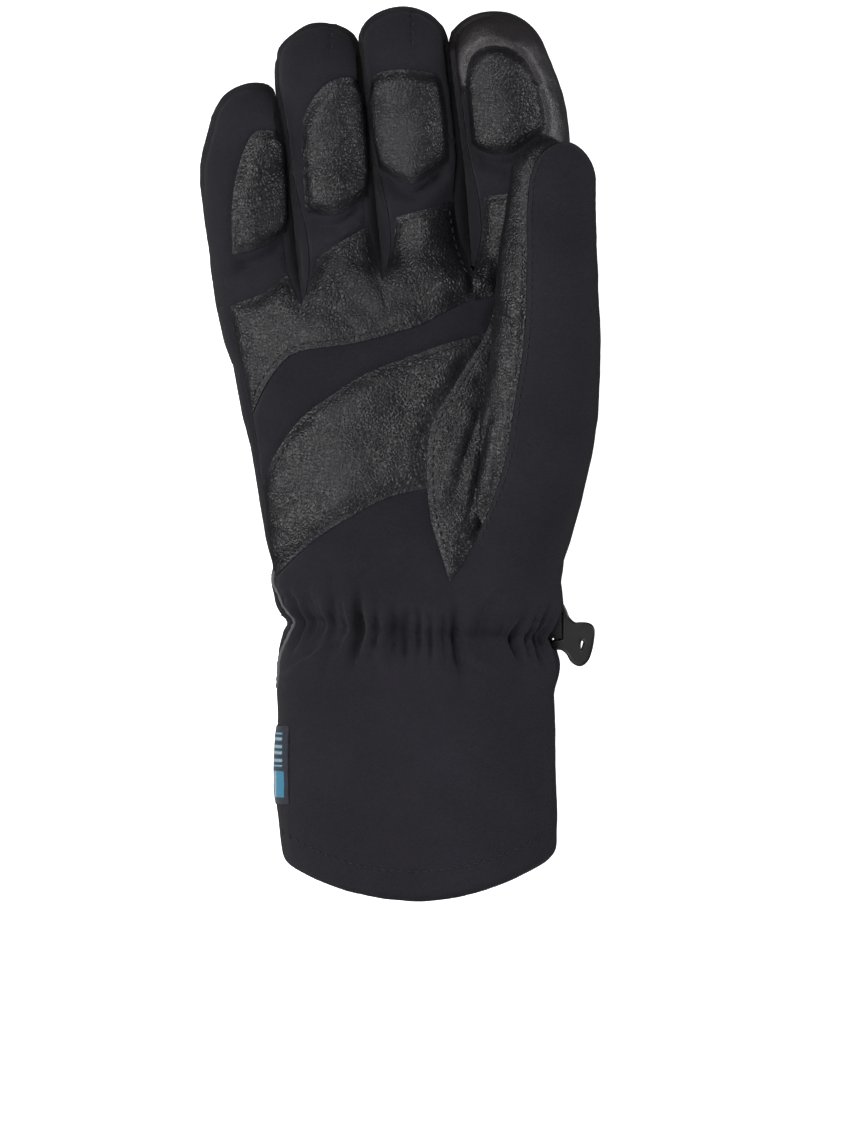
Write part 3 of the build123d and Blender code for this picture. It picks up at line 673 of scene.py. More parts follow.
def detail(p):
    """Everything that lifts or sinks the outer surface across panels, in mm along its normal."""
    lift = pleats(p) * smooth_step(122, 100, p[:, 1]) * smooth_step(48, 66, p[:, 1])
    lift += tip_seams(p)
    clear_of_thumb = smooth_step(0.5, 3.0, thumb_distance(p))
    for line in PAD_FOOT.values():
        lift += valley(p, line, below=3.8, width=2.6, depth=3.6) * clear_of_thumb
    for line, width, height in PALM_FOLDS:
        lift += fold(p, line, width, height)
    for line, width, height in BACK_FOLDS:
        lift += fold(p, line, width, height, top=False)
    lift += 0.45 * waves(p, 3, 46.0) + 0.22 * waves(p, 8, 19.0)
    lift *= clear_of_creases(p, 2.6, 1.0)
    floor_near = smooth_step(6.0, 1.0, p[:, 2])
    return lift * (1 - floor_near) + np.minimum(lift, 0) * floor_near


def smooth_normals(surface):
    """Normals of a moved surface from its faces."""
    p, f = surface["points"], surface["faces"]
    face_normal = np.cross(p[f[:, 1]] - p[f[:, 0]], p[f[:, 2]] - p[f[:, 0]])
    total = np.zeros_like(p)
    for i in range(3):
        np.add.at(total, f[:, i], face_normal)
    return total / np.maximum(np.linalg.norm(total, axis=1, keepdims=True), 1e-12)


CREASE_DEPTH = 3.2
CREASE_WIDTH = 1.7
FINGER_MIDDLE_Z = 23.0
# Where the wedges in the palm leather start.
WEDGE_START = {("pinky", "ring"): 192.5, ("ring", "middle"): 200.5, ("middle", "index"): 203.5}

# ---------------------------------------------------------------------------
# The separate closed forms that the panels are cut from
# ---------------------------------------------------------------------------
CELL = 1.1
WALL = 6.0  # thickness of the padded wall at the hem
WALL_OVERLAP = 0.12  # two fingers press this far past the crease between them
THUMB_FREE_Y = 186.0  # past this the thumb lies free on the index finger


def on_floor(p, distance):
    """A form pressed flat where it lies on the table."""
    return smooth_max(distance, 0.15 - p[:, 2], 2.0)


def cuff_field(p):
    """The cuff as a thick wall with a rounded rim along the hem."""
    wall = np.abs(body_distance(p) + WALL / 2) - WALL / 2
    return on_floor(p, smooth_max(wall, hem_height(p[:, 0]) - p[:, 1], 3.2))


def crease_groove(p):
    """How much deeper the cloth dips into the crease between two fingers, above and below."""
    away = smooth_step(4, 11, np.abs(p[:, 2] - FINGER_MIDDLE_Z))
    depth = np.zeros(len(p))
    for pair, crease in CREASES.items():
        start = WEDGE_START[pair]
        gap = np.abs(p[:, 0] - crease(p[:, 1]))
        depth += CREASE_DEPTH * np.exp(-((gap / CREASE_WIDTH) ** 2)) * smooth_step(start, start + 12, p[:, 1])
    return depth * away


def finger_field(p, finger):
    """A finger that grows out of the hand, with flat walls against its neighbours."""
    total = smooth_min(body_distance(p), finger_distance(p, finger), 7.0) + crease_groove(p)
    return on_floor(p, pressed(total, p, finger, WALL_OVERLAP, 0.8))


def thumb_field(p):
    """The thumb, with the hand cut away from it."""
    return smooth_max(thumb_distance(p), 0.1 - fingers_and_body(p), 1.2)


def lining_field(p):
    """The lining, just inside the padded wall."""
    return body_distance(p) + WALL + 0.2


def hand_field(p):
    """The hand, with the ball of the thumb growing softly out of it above the wrist."""
    sunk = 0.6 + 0.35 * np.maximum(p[:, 1] - 112.0, 0)
    softness = 1.5 + 11.0 * smooth_step(128, 100, p[:, 1])
    return on_floor(p, smooth_min(fingers_and_body(p), thumb_distance(p) + sunk, softness))


def detailed(surface):
    """A form with its folds, pleats and puckers."""
    surface["points"] = surface["points"] + surface["normals"] * detail(surface["points"])[:, None]
    surface["normals"] = smooth_normals(surface)
    return surface


hand_form = detailed(surface_of(hand_field, (-70, 66, -4), (66, 240, 62), CELL))
cuff_form = detailed(surface_of(cuff_field, (-50, -6, -4), (60, 80, 66), CELL))
thumb_form = detailed(surface_of(thumb_field, (8, 84, 8), (72, 252, 74), CELL))
finger_forms = {
    finger: detailed(surface_of(
        lambda p, finger=finger: finger_field(p, finger),
        (min(row[0] for row in FINGER_LINES[finger]) - 22, 186, -4),
        (max(row[0] for row in FINGER_LINES[finger]) + 22, 296, 46),
        CELL,
    ))
    for finger in FINGERS
}
lining_form = surface_of(lining_field, (-60, -6, 0), (60, 212, 60), 2.2)


# ---------------------------------------------------------------------------
# Cutting the forms into panels
# ---------------------------------------------------------------------------
def on_palm(line):
    """A side function: inside an outline, above the side seams."""
    return lambda p: np.minimum(inside_outline(p, line), p[:, 2] - SEAM_Z)


def finger_border(p):
    """Where the fingers' own panels start: across the knuckles at the back, lower on the palm side."""
    palm_side = 193 + 13 * smooth_step(-20, 20, p[:, 0])
    return KNUCKLE_Y - (KNUCKLE_Y - palm_side) * smooth_step(20, 26, p[:, 2])


PANELS = {}

outer_cuff, inner_cuff = split(cuff_form, lambda p: body_distance(p) + WALL / 2)
outer_cuff, _ = split(outer_cuff, lambda p: CUFF_TOP_Y - p[:, 1])
PANELS["cuff_palm_panel"], PANELS["cuff_back_panel"] = split(outer_cuff, lambda p: p[:, 2] - CUFF_SEAM_Z)
PANELS["hem_fold"], _ = split(inner_cuff, lambda p: hem_height(p[:, 0]) + HEM_FOLD_DEPTH - p[:, 1])

hand, _ = split(hand_form, lambda p: p[:, 1] - CUFF_TOP_Y)
hand, _ = split(hand, lambda p: np.maximum(thumb_distance(p) + 3.0, p[:, 1] - THUMB_FREE_Y))
PANELS["wrist_gather_shell"], hand = split(hand, lambda p: HAND_LOW_Y - p[:, 1])
PANELS["thumb_gusset_leather"], hand = split(hand, on_palm(GUSSET))
PANELS["upper_palm_leather"], hand = split(hand, on_palm(UPPER_LEATHER))
hand, _ = split(hand, lambda p: finger_border(p) - p[:, 1])
PANELS["lower_palm_leather"], hand = split(hand, on_palm(LOWER_LEATHER))
PANELS["palm_flex_band"], hand = split(hand, on_palm(FLEX_BAND))
PANELS["palm_heel_fabric"], hand = split(hand, on_palm(HEEL_FABRIC))
PANELS["back_of_hand_shell"] = hand

thumb, _ = split(thumb_form, lambda p: p[:, 1] - HAND_LOW_Y)
thumb, _ = split(thumb, lambda p: np.maximum(thumb_distance(p) + 1.5, p[:, 1] - THUMB_FREE_Y))
thumb_height = profile([(row[1], row[2]) for row in THUMB_LINE])
PANELS["thumb_strip_leather"], PANELS["thumb_back_fabric"] = split(
    thumb,
    lambda p: np.minimum(STRIP_SEAM(p[:, 1]) - p[:, 0], p[:, 2] - thumb_height(p[:, 1]) + 6.0),
)


def beside_crease(p, pair, sign):
    """Above 0 on the side wall of a finger, which widens from the wedge in the palm leather."""
    start = WEDGE_START[pair]
    beyond = p[:, 1] - start
    width = 0.8 + 2.9 * smooth_step(0, 16, beyond) - 2.3 * smooth_step(20, 44, beyond)
    across = sign * (p[:, 0] - CREASES[pair](p[:, 1]))
    return np.minimum(width - across, beyond + 6.0)


def strip_top(finger):
    """Where the fabric below a pad runs on into the finger's shell."""
    return PADS[finger][:, 1].min() + (22.0 if finger == "index" else 14.0)


for finger, form in finger_forms.items():
    rest, _ = split(form, lambda p: p[:, 1] - finger_border(p))
    _, rest = split(rest, on_palm(UPPER_LEATHER))
    if finger == "index":
        _, rest = split(rest, on_palm(GUSSET))
    pad_line = PADS[finger]
    PANELS[f"{finger}_pad"], rest = split(
        rest, lambda p: np.minimum(inside_outline(p, pad_line), p[:, 2] - PAD_LOW_Z)
    )
    for pair in CREASES:
        if finger not in pair:
            continue
        side, sign = ("inner", -1) if pair[0] == finger else ("outer", 1)
        end = FINGER_LINES[finger][-1][1] + 4.0
        wall, rest = split(rest, lambda p: np.minimum(beside_crease(p, pair, sign), end - p[:, 1]))
        PANELS[f"{finger}_{side}_side_wall"] = wall
    if finger == "index":
        PANELS["index_tip_cap"], rest = split(
            rest, lambda p: np.minimum(inside_outline(p, INDEX_CAP), p[:, 2] - CAP_LOW_Z)
        )
    PANELS[f"{finger}_flex_strip"], rest = split(
        rest, lambda p: np.minimum(strip_top(finger) - p[:, 1], p[:, 2] - STRIP_LOW_Z)
    )
    PANELS[f"{finger}_shell"] = rest

lining, _ = split(lining_form, lambda p: p[:, 1] - hem_height(p[:, 0]) - 10.5)
lining["faces"] = lining["faces"][:, ::-1]
lining["normals"] = -lining["normals"]
PANELS["lining"] = lining


def largest_parts(surface, share=0.02):
    """A surface without the loose crumbs that a cut leaves beside it."""
    faces = surface["faces"]
    label = np.arange(len(surface["points"]))
    while True:
        low_label = label[faces].min(axis=1)
        new = label.copy()
        for i in range(3):
            np.minimum.at(new, faces[:, i], low_label)
        new = new[new]
        if (new == label).all():
            break
        label = new
    face_label = label[faces[:, 0]]
    names, counts = np.unique(face_label, return_counts=True)
    return with_faces(surface, faces[np.isin(face_label, names[counts > share * len(faces)])])


PANELS = {name: largest_parts(surface) for name, surface in PANELS.items()}


# ---------------------------------------------------------------------------
# Padding and seams of each panel: lift in the middle, height of the tuck at the edge, width
# ---------------------------------------------------------------------------
LEATHER = "pebbled_leather"
SOFTSHELL = "softshell"
FORM_OF_PANEL = {
    "upper_palm_leather": (0.95, 0.30, 5.0),
    "lower_palm_leather": (1.15, 0.30, 6.0),
    "thumb_gusset_leather": (0.8, 0.45, 4.0),
    "thumb_strip_leather": (0.8, 0.55, 3.0),
    "palm_flex_band": (0.7, 0.75, 4.0),
    "palm_heel_fabric": (0.5, 0.7, 6.0),
    "thumb_back_fabric": (0.6, 0.75, 5.0),
    "index_tip_cap": (0.6, 0.6, 3.0),
    "cuff_palm_panel": (0.3, 0.55, 5.0),
    "cuff_back_panel": (0.3, 0.55, 5.0),
    "hem_fold": (0.0, 0.4, 2.0),
    "wrist_gather_shell": (0.0, 0.0, 2.0),
    "back_of_hand_shell": (0.3, 0.6, 5.0),
    "lining": (0.0, 0.0, 2.0),
}
PAD_FORM = (1.75, 0.15, 4.2)
WALL_FORM = (0.25, 0.35, 2.0)
STRIP_FORM = (0.35, 0.7, 3.0)
SHELL_FORM = (0.35, 0.6, 3.0)
FLOOR_CLEARANCE = 0.05  # nothing is lower than this
TUCK_WIDTH = 1.15  # how far from a seam the tuck reaches


def form_of(name):
    if name in FORM_OF_PANEL:
        return FORM_OF_PANEL[name]
    if name.endswith("_pad"):
        return PAD_FORM
    if name.endswith("_wall"):
        return WALL_FORM
    return STRIP_FORM if name.endswith("_strip") else SHELL_FORM


def is_flush(points):
    """Edges that only part one panel from the next on one running cloth, without a seam."""
    x, y, z = points.T
    at_wrist = (np.abs(y - CUFF_TOP_Y) < 1.6) | (np.abs(y - HAND_LOW_Y) < 1.6)
    at_knuckles = (np.abs(y - KNUCKLE_Y) < 2.0) & (z < 22)
    at_hem = y < hem_height(x) + 3.0
    inside_thumb = (thumb_distance(points) < -1.2) & (y < THUMB_FREE_Y + 2)
    at_strip = np.zeros(len(points), dtype=bool)
    for finger in FINGERS:
        beside = np.abs(x - FINGER_LINES[finger][2][0]) < 17
        at_strip |= beside & (np.abs(y - strip_top(finger)) < 1.3)
    return at_wrist | at_knuckles | at_hem | inside_thumb | at_strip


def seam_distance(surface):
    """Distance of each point from the panel's sewn edges."""
    rim = np.unique(open_edges(surface))
    rim_points = surface["points"][rim]
    rim_points = rim_points[~is_flush(rim_points)]
    if not len(rim_points):
        return np.full(len(surface["points"]), 99.0)
    tree = KDTree(len(rim_points))
    for i, point in enumerate(rim_points):
        tree.insert(point, i)
    tree.balance()
    return np.array([tree.find(point)[2] for point in surface["points"]])


def away_from_flush(p):
    """0 where one cloth runs on into the next panel, rising to 1 away from there."""
    y, z = p[:, 1], p[:, 2]
    wrist = np.where(y > HAND_LOW_Y, smooth_step(0, 9, y - HAND_LOW_Y), smooth_step(0, 9, CUFF_TOP_Y - y))
    knuckles = 1 - smooth_step(10, 1, np.abs(y - KNUCKLE_Y)) * smooth_step(24, 20, z)
    return wrist * knuckles


def sewn(name, surface):
    """A panel lifted in its middle and tucked down along its sewn edges."""
    lift, tuck, width = form_of(name)
    p = surface["points"]
    distance = seam_distance(surface)
    near_floor = smooth_step(4.0, 1.5, p[:, 2])
    amount = lift * smooth_step(0, 1, distance / width) * (1 - near_floor)
    amount -= tuck * np.exp(-((distance / TUCK_WIDTH) ** 2))
    amount += 0.10 * waves(p, 11, 9.0, 2) * np.exp(-((distance - 2.0) ** 2) / 3.0)
    amount *= clear_of_creases(p, 1.6, 0.6) * away_from_flush(p)
    surface["points"] = p + surface["normals"] * amount[:, None]
    surface["points"][:, 2] = np.maximum(surface["points"][:, 2], FLOOR_CLEARANCE)
    surface["seam"] = distance
    return surface


PANELS = {name: sewn(name, surface) for name, surface in PANELS.items()}


# ---------------------------------------------------------------------------
# Blender objects
# ---------------------------------------------------------------------------
SHEET_THICKNESS = 1.1
THIN_SHEETS = {"lining": 0.9, "hem_fold": 0.9}
scene = bpy.context.scene
MATERIALS = {}


def object_from(name, points, faces, material=None, seam=None, rims=None):
    """A mesh object; the points are in drawing millimetres, and rims are edges that stay sharp."""
    mesh = bpy.data.meshes.new(name)
    mesh.from_pydata(to_metres(points).tolist(), [], [[int(i) for i in face] for face in faces])
    mesh.polygons.foreach_set("use_smooth", [True] * len(mesh.polygons))
    if seam is not None:
        layer = mesh.attributes.new("seam", "FLOAT", "POINT")
        layer.data.foreach_set("value", np.asarray(seam, dtype=np.float32))
    mesh.update(calc_edges=True)
    if rims is not None:
        edges = np.empty(len(mesh.edges) * 2, dtype=np.int64)
        mesh.edges.foreach_get("vertices", edges)
        edges = np.sort(edges.reshape(-1, 2), axis=1)
        code = edges[:, 0] * len(points) + edges[:, 1]
        wanted = np.sort(rims, axis=1)
        sharp = mesh.attributes.new("sharp_edge", "BOOLEAN", "EDGE")
        sharp.data.foreach_set("value", np.isin(code, wanted[:, 0] * len(points) + wanted[:, 1]))
    obj = bpy.data.objects.new(name, mesh)
    scene.collection.objects.link(obj)
    if material:
        mesh.materials.append(MATERIALS[material])
    return obj


def thick(surface, depth):
    """A closed sheet: the surface, its copy moved inwards, and a rim between them."""
    points, faces = surface["points"], surface["faces"]
    count = len(points)
    directed = np.concatenate([faces[:, [0, 1]], faces[:, [1, 2]], faces[:, [2, 0]]])
    _, index, counts = np.unique(np.sort(directed, axis=1), axis=0, return_index=True, return_counts=True)
    rim = directed[index[counts == 1]]
    a, b = rim.T
    inner = points - smooth_normals(surface) * depth
    rim_faces = [np.stack([b, a, a + count], 1), np.stack([b, a + count, b + count], 1)]
    all_faces = np.concatenate([faces, faces[:, ::-1] + count, *rim_faces])
    seam = surface.get("seam", np.full(count, 99.0))
    rims = np.concatenate([rim, rim + count])
    return np.concatenate([points, inner]), all_faces, np.concatenate([seam, seam]), rims


# ---------------------------------------------------------------------------
# Stitches
# ---------------------------------------------------------------------------
STITCH_PITCH = 2.7
STITCH_LENGTH = 1.8
STITCH_RADIUS = 0.24
SEAM_INSET = 1.9
GLOVE_MIDDLE_Z = 30.0
RAY_LENGTH = 120.0  # a ray for a stitch starts this far from the glove's middle
STEEPEST = 0.25  # no stitch where the surface turns further from the ray than this cosine


def resampled(path, pitch):
    """Evenly spaced points along a path, and the direction there."""
    path = np.asarray(path, dtype=float)
    steps = np.linalg.norm(np.diff(path, axis=0), axis=1)
    along = np.concatenate([[0], np.cumsum(steps)])
    count = max(int(along[-1] / pitch), 1)
    at = (np.arange(count) + 0.5) * along[-1] / count
    points = np.stack([np.interp(at, along, path[:, i]) for i in range(path.shape[1])], 1)
    ahead = np.stack([np.interp(at + 0.3, along, path[:, i]) for i in range(path.shape[1])], 1)
    behind = np.stack([np.interp(at - 0.3, along, path[:, i]) for i in range(path.shape[1])], 1)
    direction = ahead - behind
    return points, direction / np.maximum(np.linalg.norm(direction, axis=1, keepdims=True), 1e-9)


def inset_path(run, line, inset):
    """A run of an outline moved inside it."""
    points, direction = resampled(run, 0.8)
    across = np.stack([-direction[:, 1], direction[:, 0]], 1)
    for sign in (1, -1):
        moved = points + across * inset * sign
        depth = inside_outline(moved, line)
        if (depth > inset * 0.7).mean() > 0.4:
            return moved[depth > inset * 0.8]
    return points[:0]


def tree_of(*names):
    """A search tree over the surfaces of these panels."""
    vertices, faces = [], []
    for name in names:
        base = len(vertices)
        vertices += PANELS[name]["points"].tolist()
        faces += (PANELS[name]["faces"] + base).tolist()
    return BVHTree.FromPolygons(vertices, faces)


def stitches_on(tree, path, down=(0, 0, -1)):
    """Stitches along a path in plan, laid on the surface below it."""
    if len(path) < 2:
        return []
    points, direction = resampled(path, STITCH_PITCH)
    found = []
    down = Vector(down)
    for point, along in zip(points, direction):
        origin = Vector((point[0], point[1], GLOVE_MIDDLE_Z)) - down * RAY_LENGTH
        spot, normal, _, _ = tree.ray_cast(origin, down)
        if spot is None:
            continue
        if normal.dot(down) > 0:
            normal = -normal
        if -normal.dot(down) < STEEPEST:
            continue
        tangent = Vector((along[0], along[1], 0))
        tangent = (tangent - normal * tangent.dot(normal)).normalized()
        found.append((spot, tangent, normal))
    return found


# Rings of a stitch from end to end: place along its half length, and share of its radius.
RING_AT = [(-1.0, 0.45), (-0.72, 0.95), (0.72, 0.95), (1.0, 0.45)]
SIDES = 6


def stitch_mesh(stitches):
    """One mesh of short rounded stitches, sunk a little into the cloth."""
    points, faces = [], []
    for spot, tangent, normal in stitches:
        across = normal.cross(tangent)
        base = len(points)
        for along, radius in RING_AT:
            sink = 0.10 + (0.14 if radius < 0.5 else 0.0)
            for i in range(SIDES):
                turn = 2 * math.pi * i / SIDES
                offset = across * math.cos(turn) + normal * math.sin(turn)
                point = spot + tangent * (along * STITCH_LENGTH / 2) + offset * (radius * STITCH_RADIUS)
                points.append(tuple(point + normal * (STITCH_RADIUS - sink)))
        for ring in range(len(RING_AT) - 1):
            for i in range(SIDES):
                j = (i + 1) % SIDES
                a, b = base + ring * SIDES + i, base + ring * SIDES + j
                faces.append((a, b, b + SIDES, a + SIDES))
        faces.append(tuple(base + i for i in reversed(range(SIDES))))
        last = base + (len(RING_AT) - 1) * SIDES
        faces.append(tuple(last + i for i in range(SIDES)))
    return points, faces


STITCHES = {where: [] for where in ("hand", "thumb", "cuff", *FINGERS)}
# Rows just inside a panel's edge: the part they belong to, the panel, its outline and the sewn runs of it.
EDGE_ROWS = [
    ("hand", "upper_palm_leather", UPPER_LEATHER, [UPPER_LOW_EDGE, *UPPER_TOP_EDGES]),
    ("hand", "lower_palm_leather", LOWER_LEATHER, [LOWER_TOP_EDGE, LOWER_LOW_EDGE]),
    ("hand", "thumb_gusset_leather", GUSSET, [GUSSET_EDGE[:-1]]),
    *[(finger, f"{finger}_pad", PADS[finger], [PAD_FOOT[finger]]) for finger in FINGERS],
    ("index", "index_tip_cap", INDEX_CAP, [CAP_EDGE]),
]
for where, panel, line, runs in EDGE_ROWS:
    tree = tree_of(panel)
    for run in runs:
        STITCHES[where] += stitches_on(tree, inset_path(curve_through(run, 6), line, SEAM_INSET))
STRIP_STITCH_Y = (110.0, 243.0)
strip_line = np.array([(STRIP_SEAM(y) + SEAM_INSET, y) for y in np.arange(*STRIP_STITCH_Y, 3.0)])
STITCHES["thumb"] += stitches_on(tree_of("thumb_back_fabric"), strip_line)
for finger, low_y, high_y in (("ring", 276.0, 283.0), ("middle", 277.0, 289.0)):
    tip_x = FINGER_LINES[finger][-1][0] + 3.3
    centre_seam = np.array([(tip_x, low_y), (tip_x, high_y)])
    STITCHES[finger] += stitches_on(tree_of(f"{finger}_shell"), centre_seam)
hem_x = np.arange(-43.0, 49.5, 1.5)
HEM_STITCH_HEIGHT = 9.4
hem_line = np.stack([hem_x, hem_height(hem_x) + HEM_STITCH_HEIGHT], 1)
STITCHES["cuff"] += stitches_on(tree_of("cuff_palm_panel"), hem_line)
STITCHES["cuff"] += stitches_on(tree_of("cuff_back_panel"), hem_line, (0, 0, 1))


# ---------------------------------------------------------------------------
# Materials
# ---------------------------------------------------------------------------
class Shader:
    """A small helper to write a node material from left to right."""

    def __init__(self, name):
        self.material = bpy.data.materials.new(name)
        self.material.use_nodes = True
        self.tree = self.material.node_tree
        self.surface = self.tree.nodes["Principled BSDF"]
        coordinates = self.tree.nodes.new("ShaderNodeTexCoord")
        self.where = coordinates.outputs["Object"]
        MATERIALS[name] = self.material

    def set(self, **values):
        for key, value in values.items():
            self.surface.inputs[key.replace("_", " ")].default_value = value

    def node(self, kind, links=None, **settings):
        made = self.tree.nodes.new(kind)
        for key, value in settings.items():
            if hasattr(made, key):
                setattr(made, key, value)
            else:
                made.inputs[key].default_value = value
        for key, source in (links or {}).items():
            self.tree.links.new(source, made.inputs[key])
        return made

    def wobbled(self, scale, amount):
        """The coordinates, pushed about a little by a noise."""
        push = self.node("ShaderNodeTexNoise", {"Vector": self.where}, Scale=scale, Detail=2.0)
        scaled = self.node("ShaderNodeVectorMath", {0: push.outputs["Color"]}, operation="SCALE",
                           Scale=amount)
        added = self.node("ShaderNodeVectorMath", {0: self.where, 1: scaled.outputs[0]}, operation="ADD")
        return added.outputs[0]

    def noise(self, scale, detail_level=3.0, roughness=0.55):
        return self.node("ShaderNodeTexNoise", {"Vector": self.where}, Scale=scale, Detail=detail_level,
                         Roughness=roughness).outputs["Fac"]

    def math(self, operation, a, b=0.5):
        made = self.tree.nodes.new("ShaderNodeMath")
        made.operation = operation
        for i, value in enumerate((a, b)):
            if isinstance(value, (int, float)):
                made.inputs[i].default_value = value
            else:
                self.tree.links.new(value, made.inputs[i])
        return made.outputs[0]

    def between(self, value, low, high, to_low=0.0, to_high=1.0):
        made = self.tree.nodes.new("ShaderNodeMapRange")
        self.tree.links.new(value, made.inputs["Value"])
        for key, number in (("From Min", low), ("From Max", high), ("To Min", to_low), ("To Max", to_high)):
            made.inputs[key].default_value = number
        return made.outputs["Result"]

    def blend_colours(self, factor, a, b):
        made = self.tree.nodes.new("ShaderNodeMix")
        made.data_type = "RGBA"
        self.tree.links.new(factor, made.inputs["Factor"])
        for key, colour in (("A", a), ("B", b)):
            socket = [s for s in made.inputs if s.name == key and s.type == "RGBA"][0]
            if isinstance(colour, tuple):
                socket.default_value = (*colour, 1)
            else:
                self.tree.links.new(colour, socket)
        return [s for s in made.outputs if s.type == "RGBA"][0]

    def attribute(self, name):
        return self.node("ShaderNodeAttribute", attribute_name=name).outputs["Fac"]

    def bump(self, height, strength, distance, after=None):
        made = self.tree.nodes.new("ShaderNodeBump")
        made.inputs["Strength"].default_value = strength
        made.inputs["Distance"].default_value = distance
        self.tree.links.new(height, made.inputs["Height"])
        if after is not None:
            self.tree.links.new(after, made.inputs["Normal"])
        return made.outputs["Normal"]

    def connect(self, **sources):
        for key, source in sources.items():
            self.tree.links.new(source, self.surface.inputs[key.replace("_", " ")])


def shade(colour, factor):
    return tuple(min(1, part * factor) for part in colour)


def leather(name, colour, grain_scale, roughness, grain_depth, specular):
    """Dyed leather: rounded pebbles with painted shade in the creases between them, patchy in tone and shine,
    and lighter along the sewn edges, partly from wear and partly as a painted highlight.
    """
    shader = Shader(name)
    cells = shader.node("ShaderNodeTexVoronoi", {"Vector": shader.wobbled(260.0, 0.0016)},
                        feature="DISTANCE_TO_EDGE", Scale=grain_scale)
    pebbles = shader.between(cells.outputs["Distance"], 0.0, 0.34)
    fine = shader.noise(grain_scale * 3.2, 2.0)
    height = shader.math("ADD", pebbles, shader.math("MULTIPLY", fine, 0.10))
    swells = shader.noise(38.0, 2.0, 0.5)
    normal = shader.bump(swells, 0.6, 0.009)
    normal = shader.bump(height, 0.62, grain_depth, normal)
    blotch = shader.noise(34.0, 3.0)
    tint = shader.blend_colours(shader.between(blotch, 0.3, 0.7), shade(colour, 0.72), shade(colour, 1.35))
    # Painted shade: the colour falls to about a third of itself in the creases between the pebbles.
    tint = shader.blend_colours(shader.between(pebbles, 0.0, 0.35), shade(colour, 0.35), tint)
    # Partly wear and partly a painted highlight: the colour is a quarter lighter within about 1.8 mm of a
    # sewn edge.
    edge_wear_and_highlight = shader.between(shader.attribute("seam"), 0.4, 1.8)
    tint = shader.blend_colours(edge_wear_and_highlight, shade(colour, 1.25), tint)
    shader.connect(Base_Color=tint, Normal=normal,
                   Roughness=shader.between(blotch, 0.25, 0.75, roughness - 0.07, roughness + 0.09))
    shader.set(Specular_IOR_Level=specular)
    return shader.material


def woven(name, colour, thread, roughness=0.86, sheen=0.25, depth=0.00012, spread=0.25):
    """Fine plain weave: two crossing sets of threads, slightly uneven, with a soft nap."""
    shader = Shader(name)
    apart = shader.node("ShaderNodeSeparateXYZ", {"Vector": shader.wobbled(70.0, 0.0012)})
    turns = 2 * math.pi / thread
    slanted = shader.math("ADD", apart.outputs["X"], shader.math("MULTIPLY", apart.outputs["Z"], 0.8))
    along_x = shader.math("SINE", shader.math("MULTIPLY", slanted, turns), 0)
    along_y = shader.math("SINE", shader.math("MULTIPLY", apart.outputs["Y"], turns), 0)
    weave = shader.math("MULTIPLY", along_x, along_y)
    fuzz = shader.noise(2400.0, 2.0)
    height = shader.math("ADD", weave, shader.math("MULTIPLY", fuzz, 1.4))
    soft = shader.noise(55.0, 4.0, 0.6)
    normal = shader.bump(soft, 0.16, 0.001)
    normal = shader.bump(height, 0.5, depth, normal)
    patchy = shader.noise(24.0, 4.0, 0.6)
    speckle = shader.noise(1500.0, 1.0)
    both = shader.math("ADD", shader.math("MULTIPLY", patchy, 0.6), shader.math("MULTIPLY", speckle, 0.4))
    tint = shader.blend_colours(
        shader.between(both, 0.35, 0.65), shade(colour, 1 - spread), shade(colour, 1 + spread)
    )
    shader.connect(Base_Color=tint, Normal=normal)
    shader.set(Roughness=roughness, Specular_IOR_Level=0.15, Sheen_Weight=sheen, Sheen_Roughness=0.45)
    return shader.material


def plastic(name, colour, roughness):
    """Moulded gloss plastic with fine scratches."""
    shader = Shader(name)
    scratches = shader.noise(420.0, 5.0, 0.7)
    shader.connect(
        Normal=shader.bump(scratches, 0.10, 0.0002),
        Roughness=shader.between(scratches, 0.3, 0.7, roughness - 0.06, roughness + 0.1),
    )
    shader.set(Base_Color=(*colour, 1), Specular_IOR_Level=0.4)
    return shader.material


def label_cloth(name):
    """Woven label: dark ground with a pale and a blue block, and no lettering."""
    shader = Shader(name)
    mark = shader.attribute("mark")
    tint = shader.blend_colours(shader.between(mark, 0.2, 0.8), (0.010, 0.013, 0.024), (0.03, 0.20, 0.33))
    tint = shader.blend_colours(shader.between(mark, 1.2, 1.8), tint, (0.30, 0.38, 0.42))
    ribs = shader.node("ShaderNodeTexWave", {"Vector": shader.where}, bands_direction="Y", Scale=420.0)
    shader.connect(Base_Color=tint, Normal=shader.bump(ribs.outputs["Fac"], 0.4, 0.00012))
    shader.set(Roughness=0.6, Specular_IOR_Level=0.3, Sheen_Weight=0.2)
    return shader.material


leather("pebbled_leather", (0.0085, 0.0078, 0.0100), 820.0, 0.39, 0.00020, 0.36)
leather("smooth_leather", (0.0190, 0.0155, 0.0175), 1250.0, 0.40, 0.00010, 0.60)
woven("softshell", (0.0155, 0.0144, 0.0190), 0.00062, sheen=0.05)
woven("lining", (0.020, 0.020, 0.023), 0.0012, 0.95, 0.6, 0.0002)
woven("piping", (0.10, 0.10, 0.105), 0.0007, 0.6, 0.1)
woven("webbing", (0.012, 0.012, 0.013), 0.0011, 0.7, 0.1, 0.0003)
woven("thread", (0.016, 0.0155, 0.018), 0.0004, 0.6, 0.1)
plastic("clip_plastic", (0.006, 0.006, 0.007), 0.36)
label_cloth("label")


# ---------------------------------------------------------------------------
# Pieces: what each rides on and stands for
# ---------------------------------------------------------------------------
JOINTS = {joint["name"]: joint for joint in frame["joints"]}


def ride_on(obj, where):
    """Let a piece follow its body, such as the hand, the cuff or the clip; a finger, thumb or wrist piece is
    only fixed in place.
    """
    if where in FINGERS:
        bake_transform(obj)
    elif where == "thumb":
        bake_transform(obj)
    elif where == "wrist":
        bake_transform(obj)
    else:
        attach(obj, where)


